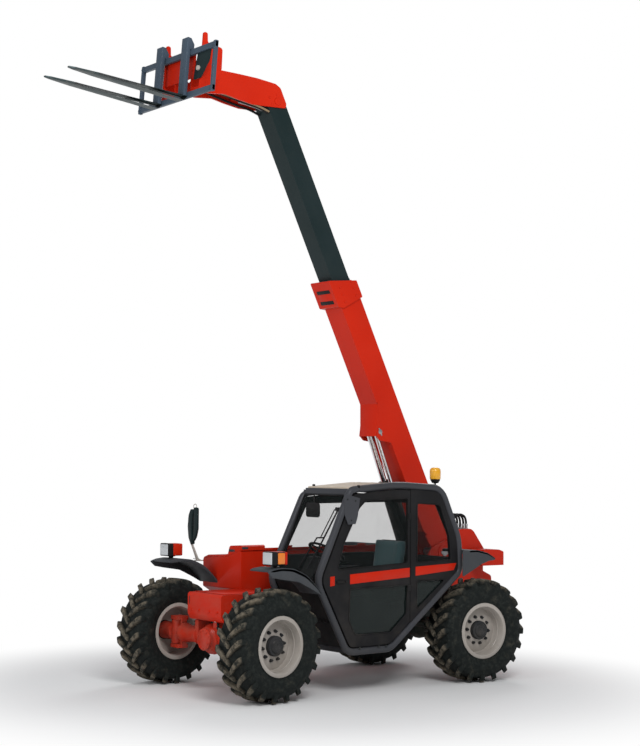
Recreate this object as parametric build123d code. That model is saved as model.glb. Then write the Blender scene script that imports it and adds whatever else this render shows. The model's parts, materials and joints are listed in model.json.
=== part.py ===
"""Compact telehandler with a raised two-stage boom and pallet forks.

The machine stands on its tyres: +X is forward, +Y is the driver's left and +Z is up, in millimetres.
Parts are drawn about the middle of the wheelbase at ground level, then placed so that the origin lies
under the middle of the whole machine's box.
"""
from build123d import *
import math
import os

# ---------------------------------------------------------------- driving dimensions
WHEELBASE = 2710.0
TRACK = 1710.0
TYRE_RADIUS = 535.0
TYRE_WIDTH = 406.0
RIM_SEAT_RADIUS = 254.0
RIM_HALF_WIDTH = 150.0
TREAD_RADIUS = 500.0
LUGS_PER_SIDE = 20
WHEEL_SIDES = 32
ARC_SAG = 1.5
KINGPIN_Y = 690.0
FRONT_STEER = 6.3
REAR_STEER = -6.3
AXLE_Z = TYRE_RADIUS
FRONT_X = WHEELBASE / 2
REAR_X = -WHEELBASE / 2

BOOM_Y = -70.0
BOOM_ANGLE = 63.5
BOOM_LOW_ANGLE = -2.0
BOOM_REFERENCE = (-408.0, 4022.0)
BOOM_PIVOT = (-2970.0, 150.0)
BOOM_DEPTH = 285.0
BOOM_HALF_WIDTH = 140.0
BOOM_WALL = 12.0
INNER_TOP, INNER_BOTTOM = 30.0, 255.0
INNER_HALF_WIDTH = 110.0
BOOM_STROKE = 1750.0
COLLAR_SLOTS = ((-115.0, -20.0), (20.0, 115.0))
EAR_PIN = (-1400.0, 375.0)
LIFT_BASE = (-1365.0, 980.0)
TILT_BASE = (2230.0, 130.0)
CARRIAGE_PIVOT = (2650.0, 900.0)
FORK_TILT = 4.5
TILT_LUG_RADIUS = 200.0
BOOM_PIN_RADIUS = 40.0
LIFT_PIN_RADIUS = 28.0
TILT_PIN_RADIUS = 20.0
CARRIAGE_PIN_RADIUS = 25.0
RUNNING_GAP = 0.05

CAB_LEFT, CAB_RIGHT = 950.0, 130.0
CAB_TUBE = 70.0
INSIDE_RIGHT, INSIDE_LEFT = CAB_RIGHT + 67.0, CAB_LEFT - CAB_TUBE - 1.0
REAR_PANE_RIGHT, REAR_PANE_LEFT = INSIDE_RIGHT + 40.0, INSIDE_LEFT - 60.0
HOOD_INNER, HOOD_OUTER = -280.0, -970.0
RAIL_LEFT, RAIL_RIGHT = (80.0, 102.0), (-242.0, -220.0)

# ---------------------------------------------------------------- frames of reference
COS_BOOM = math.cos(math.radians(BOOM_ANGLE))
SIN_BOOM = math.sin(math.radians(BOOM_ANGLE))
MACHINE = Plane(origin=(0, 0, 0), x_dir=(1, 0, 0), z_dir=(0, -1, 0))
BOOM = Plane(
    origin=(BOOM_REFERENCE[0], BOOM_Y, BOOM_REFERENCE[1]),
    x_dir=(COS_BOOM, 0, SIN_BOOM),
    z_dir=(0, 1, 0),
)


def boom_point(along, under):
    """Machine X and Z of a point given along the boom and below its top edge."""
    x = BOOM_REFERENCE[0] + along * COS_BOOM + under * SIN_BOOM
    z = BOOM_REFERENCE[1] + along * SIN_BOOM - under * COS_BOOM
    return x, z


PIVOT_X, PIVOT_Z = boom_point(*BOOM_PIVOT)
EAR_X, EAR_Z = boom_point(*EAR_PIN)
CARRIAGE_X, CARRIAGE_Z = boom_point(*CARRIAGE_PIVOT)
TILT_BASE_X, TILT_BASE_Z = boom_point(*TILT_BASE)
TILT_COS = math.cos(math.radians(FORK_TILT))
TILT_SIN = math.sin(math.radians(FORK_TILT))
CARRIAGE = Plane(
    origin=(CARRIAGE_X, BOOM_Y, CARRIAGE_Z),
    x_dir=(TILT_COS, 0, TILT_SIN),
    z_dir=(0, -1, 0),
)
TILT_LUG = (10.0, TILT_LUG_RADIUS)


def carriage_point(forward, up):
    """Machine X and Z of a point given forward of and above the carriage pivot, square to the forks."""
    x = CARRIAGE_X + forward * TILT_COS - up * TILT_SIN
    z = CARRIAGE_Z + forward * TILT_SIN + up * TILT_COS
    return x, z


TILT_LUG_X, TILT_LUG_Z = carriage_point(*TILT_LUG)


# ---------------------------------------------------------------- drawing helpers
def outline(rows):
    """Closed face from rows of x, y and corner radius."""
    face = make_face(Polyline([(x, y) for x, y, _ in rows], close=True))
    for x, y, radius in rows:
        if radius:
            face = fillet(face.vertices().sort_by_distance((x, y, 0))[0], radius)
    return face


def sharp(*points):
    """Rows for an outline whose corners are all square."""
    return [(x, y, 0) for x, y in points]


def plate(frame, shape, y_low, y_high):
    """Extrude an outline, in a frame's x and y, between two distances left of the frame's plane."""
    face = outline(shape) if isinstance(shape, list) else shape
    start = y_low if frame.z_dir.Y > 0 else -y_high
    return frame.location * Pos(0, 0, start) * extrude(face, amount=y_high - y_low)


def cross_bar(frame, centre, radius, y_low, y_high):
    """Round bar across the machine at a point of a frame."""
    start = y_low if frame.z_dir.Y > 0 else -y_high
    middle = start + (y_high - y_low) / 2
    return frame.location * Pos(centre[0], centre[1], middle) * Cylinder(radius, y_high - y_low)


def block(x_low, x_high, y_low, y_high, z_low, z_high):
    """Square block between three pairs of limits."""
    middle = ((x_low + x_high) / 2, (y_low + y_high) / 2, (z_low + z_high) / 2)
    return Pos(*middle) * Box(x_high - x_low, y_high - y_low, z_high - z_low)


def front_plate(shape, x_low, x_high):
    """Extrude an outline in Y and Z forward from x_low to x_high."""
    face = outline(shape) if isinstance(shape, list) else shape
    plane = Plane(origin=(x_low, 0, 0), x_dir=(0, 1, 0), z_dir=(1, 0, 0))
    return plane.location * extrude(face, amount=x_high - x_low)


def bar(start, end, radius, sides=0):
    """Bar between two points: round, or many-sided when a number of sides is given."""
    along = Vector(*end) - Vector(*start)
    plane = Plane(origin=start, z_dir=along)
    if sides:
        return plane.location * extrude(RegularPolygon(radius, sides), amount=along.length)
    return plane.location * Cylinder(radius, along.length, align=(Align.CENTER, Align.CENTER, Align.MIN))


def ring(frame, centre, outer, inner, y_low, y_high):
    """Round bush across the machine at a point of a frame."""
    return cross_bar(frame, centre, outer, y_low, y_high) - cross_bar(frame, centre, inner, y_low, y_high)


def turned(rows, sides, closed=True):
    """Many-sided solid about Y from rows of radius and distance; an open profile ends in flat discs."""
    rings = [[at_angle(radius, 360 * index / sides, y) for index in range(sides)] for radius, y in rows]
    return skinned(rings, closed)


def skinned(rings, closed):
    """Solid between rings of equally many points; rings that do not close on the first end in flat faces."""
    faces = []
    for near, far in zip(rings, rings[1:] + rings[:1] if closed else rings[1:]):
        for index, after in enumerate(list(range(1, len(near))) + [0]):
            faces.append(Face(Wire.make_polygon([near[index], near[after], far[after], far[index]])))
    if not closed:
        faces += [Face(Wire.make_polygon(rings[0])), Face(Wire.make_polygon(rings[-1]))]
    return Solid(Shell(faces))


def rounded(rows):
    """Points of x and z along a closed outline of x, z and corner radius, with arcs as short chords."""
    points = []
    for index, (x, z, radius) in enumerate(rows):
        corner = Vector(x, z)
        back = (Vector(*rows[index - 1][:2]) - corner).normalized()
        ahead = (Vector(*rows[(index + 1) % len(rows)][:2]) - corner).normalized()
        half = math.acos(back.dot(ahead)) / 2
        centre = corner + (back + ahead).normalized() * (radius / math.sin(half))
        start = corner + back * (radius / math.tan(half)) - centre
        turn = (math.pi - 2 * half) * (1 if back.cross(ahead).Z < 0 else -1)
        steps = max(1, math.ceil(abs(turn) / (2 * math.acos(1 - ARC_SAG / radius))))
        for step in range(steps + 1):
            angle = turn * step / steps
            points.append((
                centre.X + start.X * math.cos(angle) - start.Y * math.sin(angle),
                centre.Y + start.X * math.sin(angle) + start.Y * math.cos(angle),
            ))
    return points


def mitred(points, y, radius, sides, closed):
    """Many-sided tube along points of x and z at one distance left of the middle, mitred at each point."""
    rings = []
    for index, point in enumerate(points):
        here = Vector(*point)
        back = here - Vector(*points[index - 1])
        ahead = Vector(*points[(index + 1) % len(points)]) - here
        if not closed:
            back = ahead if index == 0 else back
            ahead = back if index == len(points) - 1 else ahead
        along = (back.normalized() + ahead.normalized()).normalized()
        reach = radius / along.dot(back.normalized())
        ring = []
        for side in range(sides):
            turn = 2 * math.pi * (side + 0.5) / sides
            out = reach * math.cos(turn)
            ring.append((here.X - along.Y * out, y + radius * math.sin(turn), here.Y + along.X * out))
        rings.append(ring)
    return skinned(rings, closed)


def both_sides(solid):
    """A solid and its mirror image across the machine's middle plane."""
    return [solid, solid.mirror(Plane.XZ)]


# ---------------------------------------------------------------- wheels, axles and knuckles
def at_angle(radius, degrees, y):
    """Point at a radius and an angle from forward towards up, at a distance along the wheel's axis."""
    turn = math.radians(degrees)
    return radius * math.cos(turn), y, radius * math.sin(turn)


def facets(corners):
    """Two flat facets over a four-cornered patch, split between its second and last corners."""
    first, second, third, fourth = corners
    return [Face(Wire.make_polygon([second, third, fourth])), Face(Wire.make_polygon([second, fourth, first]))]


class TreadEnd:
    """One end of the tread bars: distances along the axis, radii, lean and half angles of foot and crest."""

    def __init__(self, foot, crest):
        self.foot_y, self.foot_radius, self.foot_lean, self.foot_half = foot
        self.crest_y, self.crest_radius, self.crest_lean, self.crest_half = crest

    def corners(self, start, pitch):
        foot, crest = start + self.foot_lean, start + self.crest_lean
        return [
            at_angle(self.foot_radius, foot - self.foot_half, self.foot_y),
            at_angle(self.crest_radius, crest - self.crest_half, self.crest_y),
            at_angle(self.crest_radius, crest + self.crest_half, self.crest_y),
            at_angle(self.foot_radius, foot + self.foot_half, self.foot_y),
            at_angle(self.foot_radius, foot + pitch - self.foot_half, self.foot_y),
        ]


def tread_half():
    """Half of the tread: a ring from the wheel's middle outwards, with its leaning bars."""
    pitch = 360 / LUGS_PER_SIDE
    middle = TreadEnd((0, TREAD_RADIUS, 0, pitch / 4), (8, TYRE_RADIUS, 0.7, 2.6))
    shoulder = TreadEnd((188, TREAD_RADIUS - 26, 17.0, 3.4), (160, TYRE_RADIUS - 1, 15.5, 2.4))
    faces, edges = [], [[], []]
    for index in range(LUGS_PER_SIDE):
        near = middle.corners(index * pitch, pitch)
        far = shoulder.corners(index * pitch, pitch)
        for one in range(4):
            faces += facets([near[one], near[one + 1], far[one + 1], far[one]])
        for end, row in enumerate((near, far)):
            faces += facets(row[:4])
            edges[end] += [row[0], row[3]]
    hidden = TREAD_RADIUS - 70
    rows = [[at_angle(hidden, pitch * index, y) for index in range(LUGS_PER_SIDE)] for y in (0, 188)]
    for index in range(LUGS_PER_SIDE):
        after = (index + 1) % LUGS_PER_SIDE
        faces.append(Face(Wire.make_polygon([rows[0][index], rows[0][after], rows[1][after], rows[1][index]])))
    for edge, row in zip(edges, rows):
        faces.append(Face(Wire.make_polygon(edge), [Wire.make_polygon(row)]))
    return Solid(Shell(faces))


def tyre():
    """Wide traction tyre about Y: carcass with staggered bars leaning back from its middle."""
    side_wall = [(RIM_SEAT_RADIUS + 0.5, 148), (300, 172), (390, TYRE_WIDTH / 2), (458, 172)]
    carcass = turned(side_wall + [(r, -y) for r, y in reversed(side_wall)], WHEEL_SIDES)
    left = tread_half()
    right = Rot(0, 180 / LUGS_PER_SIDE, 0) * left.mirror(Plane.XZ)
    return carcass.fuse(left, right)


def rim():
    """Dished steel rim with the hub's final drive in its middle, outboard side along +Y."""
    seat = RIM_SEAT_RADIUS - 0.5
    profile = [
        (seat, -RIM_HALF_WIDTH), (287, -166), (242, -168), (240, -6), (100, 40), (80, 44), (80, 60), (105, 62),
        (240, 22), (242, 168), (287, 166), (seat, RIM_HALF_WIDTH),
    ]
    hub = Pos(0, 84, 0) * Rot(90, 0, 0) * Cylinder(98, 88)
    return turned(profile, WHEEL_SIDES) + hub


def knuckle():
    """Steering knuckle about the kingpin: a drum that carries the hub, with the steering arm."""
    hub_face = TRACK / 2 - KINGPIN_Y + 38
    drum = bar((0, 30, 0), (0, hub_face, 0), 90, 16)
    swivel = Cylinder(62, 236)
    arm = block(-250, -40, -52, -20, -118, -90)
    return drum + swivel + arm


def corner(x, side, steer):
    """Place of a kingpin and its steering angle."""
    return Pos(x, side * KINGPIN_Y, AXLE_Z) * Rot(0, 0, steer)


AXLE_PADS = ((RAIL_LEFT[0] - 20, RAIL_LEFT[1] + 20), (RAIL_RIGHT[0] - 20, RAIL_RIGHT[1] + 20))
PAD_TOP = 690.0


def axle(x, inward):
    """Drive axle across the machine: differential, arms, mounting pads, yokes and steering cylinder."""
    bulge = [(70, -190), (140, -90), (158, -20), (140, 60), (72, 110)]
    body = Pos(x, 0, AXLE_Z - 15) * turned(bulge, 16, closed=False)
    body += bar((x, 90 - KINGPIN_Y, AXLE_Z), (x, KINGPIN_Y - 90, AXLE_Z), 74, 16)
    for side in (1, -1):
        for z_low, z_high in ((-160, -122), (122, 160)):
            body += block(x - 58, x + 58, *sorted((side * (KINGPIN_Y - 110), side * (KINGPIN_Y + 40))),
                          AXLE_Z + z_low, AXLE_Z + z_high)
        body += block(x - 30, x + 30, *sorted((side * (KINGPIN_Y - 126), side * (KINGPIN_Y - 96))),
                      AXLE_Z - 160, AXLE_Z + 160)
    for y_low, y_high in AXLE_PADS:
        body += block(x - 75, x + 75, y_low, y_high, AXLE_Z, PAD_TOP)
    for radius, half in ((36, 280), (18, 430)):
        ahead = x + inward * 175
        body += bar((ahead, -half, AXLE_Z + 15), (ahead, half, AXLE_Z + 15), radius, 12)
    body += block(*sorted((x + inward * 40, x + inward * 160)), -60, 60, AXLE_Z - 10, AXLE_Z + 40)
    return body


# ---------------------------------------------------------------- chassis
def chassis_frame():
    """Two long rails with the boom tower behind and the nose box in front."""
    rail = [
        (-2200, 640, 30), (-1700, 600, 0), (1350, 600, 0), (1350, 860, 0), (1000, 880, 60),
        (-900, 880, 120), (-1240, 1080, 60), (-1440, 1360, 80), (-1760, 1470, 60), (-1830, 1545, 40),
        (-2030, 1550, 110), (-2215, 1320, 40), (-2200, 1150, 0),
    ]
    tower = plate(MACHINE, rail, *RAIL_LEFT) + plate(MACHINE, rail, *RAIL_RIGHT)
    inner = (RAIL_RIGHT[1], RAIL_LEFT[0])
    frame = tower + plate(MACHINE, sharp((-2200, 700), (1350, 700), (1350, 730), (-2200, 730)), *inner)
    for x_low, x_high, z_high in ((-2200, -2160, 1290), (1150, 1180, 860)):
        frame += block(x_low, x_high, *inner, 700, z_high)
    hump_top = [(-1830, 1535, 0), (-2026, 1540, 100), (-2205, 1318, 0), (-2190, 1310, 0),
                (-2020, 1525, 90), (-1830, 1520, 0)]
    frame += plate(MACHINE, hump_top, *inner)
    frame += block(-2052, -2004, RAIL_RIGHT[1], RAIL_LEFT[0], 1480, 1530)
    nose = [(865, 700, 0), (1470, 700, 30), (1500, 760, 0), (1500, 950, 20), (1480, 968, 0), (865, 972, 0)]
    box = plate(MACHINE, nose, -290, 290)
    box -= block(840, 1150, RAIL_RIGHT[1], RAIL_LEFT[0], 640, 1000)
    frame += box
    frame += block(-700, 400, -400, RAIL_RIGHT[0], 600, 638)
    frame += block(-600, -520, RAIL_LEFT[0], 520, 600, 640)
    frame += block(290, 370, RAIL_LEFT[0], 120, 420, 640)
    for x in (FRONT_X, REAR_X):
        frame -= block(x - 190, x + 190, -320, 320, 500, PAD_TOP)
    frame += cross_bar(MACHINE, LIFT_BASE, LIFT_PIN_RADIUS, *inner)
    frame -= cross_bar(MACHINE, (PIVOT_X, PIVOT_Z), BOOM_PIN_RADIUS, -400, 400)
    frame += ring(MACHINE, (PIVOT_X, PIVOT_Z), 85, BOOM_PIN_RADIUS, RAIL_LEFT[1], RAIL_LEFT[1] + 14)
    frame += ring(MACHINE, (PIVOT_X, PIVOT_Z), 85, BOOM_PIN_RADIUS, RAIL_RIGHT[0] - 14, RAIL_RIGHT[0])
    return frame


def boom_pin():
    """Pin through the tower and the boom's rear ears."""
    return cross_bar(MACHINE, (PIVOT_X, PIVOT_Z), BOOM_PIN_RADIUS, RAIL_RIGHT[0] - 22, RAIL_LEFT[1] + 22)


def counterweight():
    """Cast weight across the tail, with a rounded lower block that carries the towing jaw."""
    upper = [(-2217, 1150, 0), (-2285, 1150, 0), (-2285, 1300, 20), (-2217, 1322, 0)]
    lower = [(-2217, 700, 0), (-2262, 700, 0), (-2285, 760, 0), (-2300, 930, 0), (-2375, 935, 20),
             (-2368, 1015, 40), (-2217, 1082, 0)]
    weight = plate(MACHINE, upper, -420, 340) + plate(MACHINE, lower, -200, 60)
    weight += block(-2285, -2217, -200, -20, 1060, 1160)
    near = [(-2225, 1150, 0), (-2225, 1320, 0), (-1990, 1330, 30), (-1930, 1180, 40), (-1960, 1150, 0)]
    far = [(-2225, 760, 0), (-2225, 1320, 0), (-1990, 1330, 30), (-1930, 1180, 40), (-1990, 760, 40)]
    weight += plate(MACHINE, near, 124, 340) + plate(MACHINE, far, -420, -264)
    jaw = block(-2435, -2275, -130, -10, 760, 860) - block(-2445, -2300, -140, 0, 790, 830)
    jaw -= Pos(-2402, -70, 810) * Cylinder(17, 200)
    return weight + jaw


def engine_block():
    return block(-620, 220, -900, -340, 700, 1130)


HOOD_TOP = [(HOOD_OUTER, 1236), (HOOD_OUTER + 14, 1262), (HOOD_OUTER + 100, 1290), (-560, 1302), (-312, 1378),
            (HOOD_INNER, 1378)]
LID_THICKNESS = 20.0
LID_HINGE = (-292.0, 1392.0)


def engine_hood():
    """Open-topped engine cover on the right side, raked at its lower front and rear corners."""
    shape = [(-690, 640, 30), (560, 640, 40), (640, 820, 80), (860, 960, 20), (860, 1500, 0), (-1000, 1500, 0),
             (-1000, 1105, 20), (-862, 970, 60), (-740, 800, 60)]
    inside = sharp((-670, 670), (540, 670), (616, 842), (830, 978), (830, 1500), (-970, 1500), (-970, 1120),
                   (-836, 988), (-712, 812))
    section = [(y, z - LID_THICKNESS - 2) for y, z in HOOD_TOP[:-1]]
    section = sharp((HOOD_INNER, 600), (HOOD_OUTER, 600), *section, (-298, 1356), (-296, 1346), (HOOD_INNER, 1346))
    shell = plate(MACHINE, shape, HOOD_OUTER, HOOD_INNER) & front_plate(section, -1000, 860)
    return shell - plate(MACHINE, inside, HOOD_OUTER + 30, HOOD_INNER - 30)


def hood_lid():
    """Lid of the engine cover with a rounded outer shoulder, hinge barrels and an air inlet at its front."""
    under = [(y, z - LID_THICKNESS) for y, z in reversed(HOOD_TOP)]
    lid = front_plate(sharp(*HOOD_TOP, *under), -1000, 860)
    inlet = front_plate([(-525, 1300, 0), (-490, 1400, 40), (-300, 1412, 20), (HOOD_INNER, 1400, 0),
                         (HOOD_INNER, 1365, 0), (-312, 1365, 0)], 560, 858)
    lid += inlet - front_plate(sharp((-480, 1325), (-470, 1382), (-300, 1395), (-300, 1375)), 590, 830)
    for x in (-800, 200):
        lid += block(x, x + 100, LID_HINGE[0] - 6, LID_HINGE[0] + 6, 1370, LID_HINGE[1])
        lid += bar((x, *LID_HINGE), (x + 100, *LID_HINGE), 8)
    return lid


def drivetrain():
    """Gearbox between the rails with shafts to both axles, and the transfer case."""
    box = block(-420, 60, -200, 60, 430, 598)
    shafts = bar((REAR_X + 192, 0, 468), (-420, 0, 468), 36, 12) + bar((60, 0, 468), (FRONT_X - 192, 0, 468), 36, 12)
    return box + shafts


# ---------------------------------------------------------------- cab
CAB_HOOP = [
    (410, 1998, 95), (-190, 2046, 1500), (-800, 2015, 200), (-1042, 1500, 400), (-1066, 1155, 120),
    (-119, 420, 190), (440, 415, 130), (822, 1120, 190),
]
RIGHT_HOOP = [(x, z - 50 if z > 1900 else z, radius) for x, z, radius in CAB_HOOP]


def hoop_face(inset, rows=CAB_HOOP):
    """Side outline of the cab, drawn in by an inset from the middle of its tube."""
    face = make_face(Polyline(rounded(rows), close=True))
    return offset(face, amount=-inset, kind=Kind.INTERSECTION) if inset else face


CORNER_GUSSET = [(509, 1961), (312, 1916), (340, 1738), (366, 1664), (460, 1660), (507, 1758)]


def cab_frame():
    """Two bent side hoops joined by cross tubes, with a corner plate outside the top of the door's front pillar."""
    left, right = CAB_LEFT - CAB_TUBE / 2, CAB_RIGHT + CAB_TUBE / 2
    frame = mitred(rounded(CAB_HOOP), left, CAB_TUBE / 2, 12, True)
    frame += mitred(rounded(RIGHT_HOOP), right, CAB_TUBE / 2 - 3, 8, True)
    for x, z in ((380, 1964), (-800, 1975), (-1062, 1190), (400, 425), (-90, 425)):
        frame += block(x - 25, x + 25, right, left - 20, z - 25, z + 25)
    return frame + plate(MACHINE, sharp(*CORNER_GUSSET), CAB_LEFT - 8, CAB_LEFT + 2)


def half_face(face, x_low, x_high):
    """Part of a side outline between two distances forward."""
    return face & (Pos((x_low + x_high) / 2, 1200) * Rectangle(x_high - x_low, 2400))


POST_X = -400.0
UPPER_WINDOW = [
    (582, 1222, 30), (505, 1470, 60), (310, 1820, 60), (225, 1892, 50), (-335, 1914, 30), (-335, 1264, 30),
]
LOWER_WINDOW = [
    (418, 1036, 20), (-335, 1044, 20), (-314, 752, 30), (-112, 585, 40), (349, 580, 60), (432, 730, 60),
]
REAR_WINDOW = [(-455, 1862, 20), (-770, 1842, 60), (-900, 1520, 200), (-925, 1275, 20), (-455, 1262, 20)]
LOW_REAR_WINDOW = [(-455, 1085, 15), (-455, 790, 15), (-850, 1080, 15)]
RIGHT_WINDOW = [(640, 1330, 40), (350, 1850, 60), (-740, 1860, 60), (-930, 1500, 60), (-960, 1330, 40)]
WINDOW_DEPTH = 8.0
DOOR_LOW, DOOR_HIGH = 900.0, 935.0
DOOR_HINGE = (-378.0, 944.0)


def windows(frame_windows, y_low, y_high):
    return [plate(MACHINE, rows, y_low, y_high) for rows in frame_windows]


def door_frame():
    """Door between the front pillar and the post, with its two windows cut, hinge barrels and handle."""
    door = plate(MACHINE, half_face(hoop_face(47), POST_X + 38, 2000), DOOR_LOW, DOOR_HIGH)
    for cut in windows((UPPER_WINDOW, LOWER_WINDOW), DOOR_LOW - 5, DOOR_HIGH + 5):
        door -= cut
    for z in (980, 1700):
        door += block(DOOR_HINGE[0], DOOR_HINGE[0] + 50, DOOR_HIGH, DOOR_HINGE[1] + 3, z, z + 60)
        door += bar((*DOOR_HINGE, z), (*DOOR_HINGE, z + 60), 8)
    handle = block(500, 590, DOOR_HIGH, DOOR_HIGH + 12, 1092, 1118)
    return door + handle


def door_glass():
    middle = (DOOR_LOW + DOOR_HIGH) / 2
    return windows((UPPER_WINDOW, LOWER_WINDOW), middle - WINDOW_DEPTH / 2, middle + WINDOW_DEPTH / 2)


def cab_shell():
    """Post and rear quarter panel, floor, front and rear walls and right-hand wall, with windows cut."""
    quarter = plate(MACHINE, half_face(hoop_face(38), -2000, POST_X + 30), DOOR_LOW, DOOR_HIGH)
    for cut in windows((REAR_WINDOW, LOW_REAR_WINDOW), DOOR_LOW - 5, DOOR_HIGH + 5):
        quarter -= cut
    post = block(POST_X - 45, POST_X, DOOR_LOW - 35, DOOR_LOW, 716, 1978)
    side_right = plate(MACHINE, hoop_face(36, RIGHT_HOOP), CAB_RIGHT + 14, CAB_RIGHT + 32)
    side_right -= plate(MACHINE, RIGHT_WINDOW, CAB_RIGHT, CAB_RIGHT + 40)
    inner_low, inner_high = CAB_RIGHT + 32, INSIDE_LEFT
    floor = block(-150, 430, inner_low, inner_high, 452, 476)
    toe = plate(MACHINE, sharp((430, 452), (770, 1080), (745, 1092), (412, 476)), inner_low, inner_high)
    under_seat = sharp((-150, 476), (-1020, 1150), (-1020, 1190), (-470, 1000), (-430, 860), (-150, 860), (-120, 476))
    seat_box = plate(MACHINE, under_seat, inner_low, inner_high)
    wall = sharp((-1035, 1150), (-1020, 1500), (-768, 1955), (-741, 1955), (-995, 1490), (-1005, 1150))
    rear = plate(MACHINE, wall, inner_low, inner_high)
    rear -= block(-1100, -600, REAR_PANE_RIGHT, REAR_PANE_LEFT, 1300, 1850)
    tube_room = hoop_face(-60, RIGHT_HOOP) - hoop_face(36, RIGHT_HOOP)
    inside = floor + toe + seat_box + rear - plate(MACHINE, tube_room, CAB_RIGHT - 1, INSIDE_RIGHT)
    return post + quarter + side_right + inside


def cab_roof():
    """Pale roof skin, slightly arched, that sits inside the tubes, with a flange down to the lower right tube."""
    skin = sharp((375, 2022), (-190, 2066), (-755, 2036), (-755, 2016), (-190, 2044), (375, 2003))
    flange = sharp((375, 2022), (-190, 2066), (-755, 2036), (-755, 1998), (-190, 2030), (375, 1992))
    return plate(MACHINE, skin, INSIDE_RIGHT, INSIDE_LEFT) + plate(MACHINE, flange, INSIDE_RIGHT, INSIDE_RIGHT + 14)


def windshield():
    """Front glass from the header down to the toe board."""
    glass = sharp((408, 1940), (766, 1100), (774, 1104), (416, 1943))
    return plate(MACHINE, glass, INSIDE_RIGHT, INSIDE_LEFT)


def cab_windows():
    """Right-hand, rear and quarter glass."""
    middle = (DOOR_LOW + DOOR_HIGH) / 2
    panes = windows((REAR_WINDOW, LOW_REAR_WINDOW), middle - WINDOW_DEPTH / 2, middle + WINDOW_DEPTH / 2)
    panes.append(plate(MACHINE, RIGHT_WINDOW, CAB_RIGHT + 16, CAB_RIGHT + 24))
    bent = sharp((-1024, 1180), (-1010, 1497), (-756, 1950), (-748, 1950), (-1002, 1494), (-1016, 1180))
    rear = plate(MACHINE, bent, REAR_PANE_RIGHT, REAR_PANE_LEFT)
    rear &= block(-1100, -600, 0, 1000, 1300, 1850)
    panes.append(rear)
    return panes


def seat():
    """Driver's seat on its pedestal: base, cushion and backrest as one padded form."""
    side = [(-400, 862, 0), (-160, 862, 0), (40, 1000, 30), (50, 1090, 30), (-260, 1060, 50), (-370, 1560, 40),
            (-480, 1560, 40), (-430, 1040, 30)]
    return plate(MACHINE, side, 300, 780)


def dashboard():
    """Instrument binnacle and steering column, with a side console."""
    column = [(600, 890, 0), (705, 1085, 20), (545, 1330, 40), (430, 1330, 30), (470, 1150, 40), (530, 880, 0)]
    console = [(-360, 862, 0), (120, 862, 40), (160, 1180, 60), (-300, 1200, 60)]
    return [plate(MACHINE, column, 430, 650), plate(MACHINE, console, 165, 285)]


def steering_wheel():
    """Rim and three spokes on the column."""
    frame = Plane(origin=(400, 540, 1372), z_dir=(-0.5, 0, 0.866))
    wheel = Rot(90, 0, 0) * turned([(172, -12), (198, -12), (198, 12), (172, 12)], 24) + Cylinder(32, 24)
    for angle in (90, 210, 330):
        wheel += Rot(0, 0, angle) * Pos(100, 0, 0) * Box(150, 28, 14)
    return frame.location * wheel


# ---------------------------------------------------------------- mudguards and lamps
def fenders():
    """Front and rear mudguards, each a curved top with a side lip."""
    crown = [(1488, 1232, 0), (1420, 1256, 0), (1320, 1268, 0), (1180, 1258, 0), (1020, 1190, 0), (890, 1070, 0),
             (838, 1010, 0), (856, 1000, 0)]
    front = crown + [(905, 1058, 0), (1040, 1162, 0), (1195, 1226, 0), (1320, 1236, 0), (1420, 1226, 0)]
    lip = crown + [(960, 1055, 0), (1120, 1130, 0), (1320, 1160, 0), (1430, 1180, 0)]
    tail = [(-1230, 1374, 0), (-1380, 1340, 0), (-1492, 1282, 0)]
    rear = [(-1112, 1374, 0)] + tail + [(-1482, 1268, 0), (-1370, 1318, 0), (-1226, 1346, 0), (-1112, 1346, 0)]
    rear_lip = [(-1020, 1372, 0)] + tail + [(-1340, 1222, 0), (-1170, 1168, 0), (-1020, 1100, 0)]
    left = [
        plate(MACHINE, front, 700, 1030) + plate(MACHINE, lip, 1018, 1030),
        plate(MACHINE, rear, 600, 1016) + plate(MACHINE, rear_lip, 1004, 1016),
    ]
    behind_hood = block(820, 862, -1040, -690, 980, 1300)
    return left + [one.mirror(Plane.XZ) - behind_hood for one in left]


LAMP_X, LAMP_Y, LAMP_Z = 1310.0, 900.0, 1350.0
STALK_FOOT = 1269.0


def lamp_housings():
    """Headlamp cases on short stalks over the front mudguards."""
    case = block(LAMP_X - 95, LAMP_X + 83, LAMP_Y - 80, LAMP_Y + 80, LAMP_Z - 62, LAMP_Z + 68)
    stalk = bar((LAMP_X, LAMP_Y, STALK_FOOT), (LAMP_X, LAMP_Y, LAMP_Z - 60), 18, 12)
    return both_sides(case + stalk)


def lamp_lenses():
    lens = block(LAMP_X + 83, LAMP_X + 95, LAMP_Y - 72, LAMP_Y + 72, LAMP_Z - 60, LAMP_Z + 60)
    return both_sides(lens)


def beacon():
    """Amber flashing beacon on a thin stalk at the roof's rear corner."""
    x, y = -945.0, 670.0
    rows = [(9, 1965), (9, 2054), (34, 2056), (58, 2090), (58, 2200), (40, 2228)]
    lamp = Pos(x, y, 0) * Rot(90, 0, 0) * turned(rows, 16, closed=False)
    return lamp + block(-975, -880, 640, 700, 1945, 1968)


def side_mirror():
    """Mirror on a bent bracket over the right front mudguard."""
    glass = block(1050, 1090, -930, -780, 1360, 1780)
    arm = bar((1070, -760, 1250), (1070, -760, 1740), 10, 8)
    for z in (1450, 1700):
        arm += block(1062, 1078, -790, -755, z - 8, z + 8)
    return glass + arm + block(1040, 1100, -780, -740, 1236, 1252)


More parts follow.
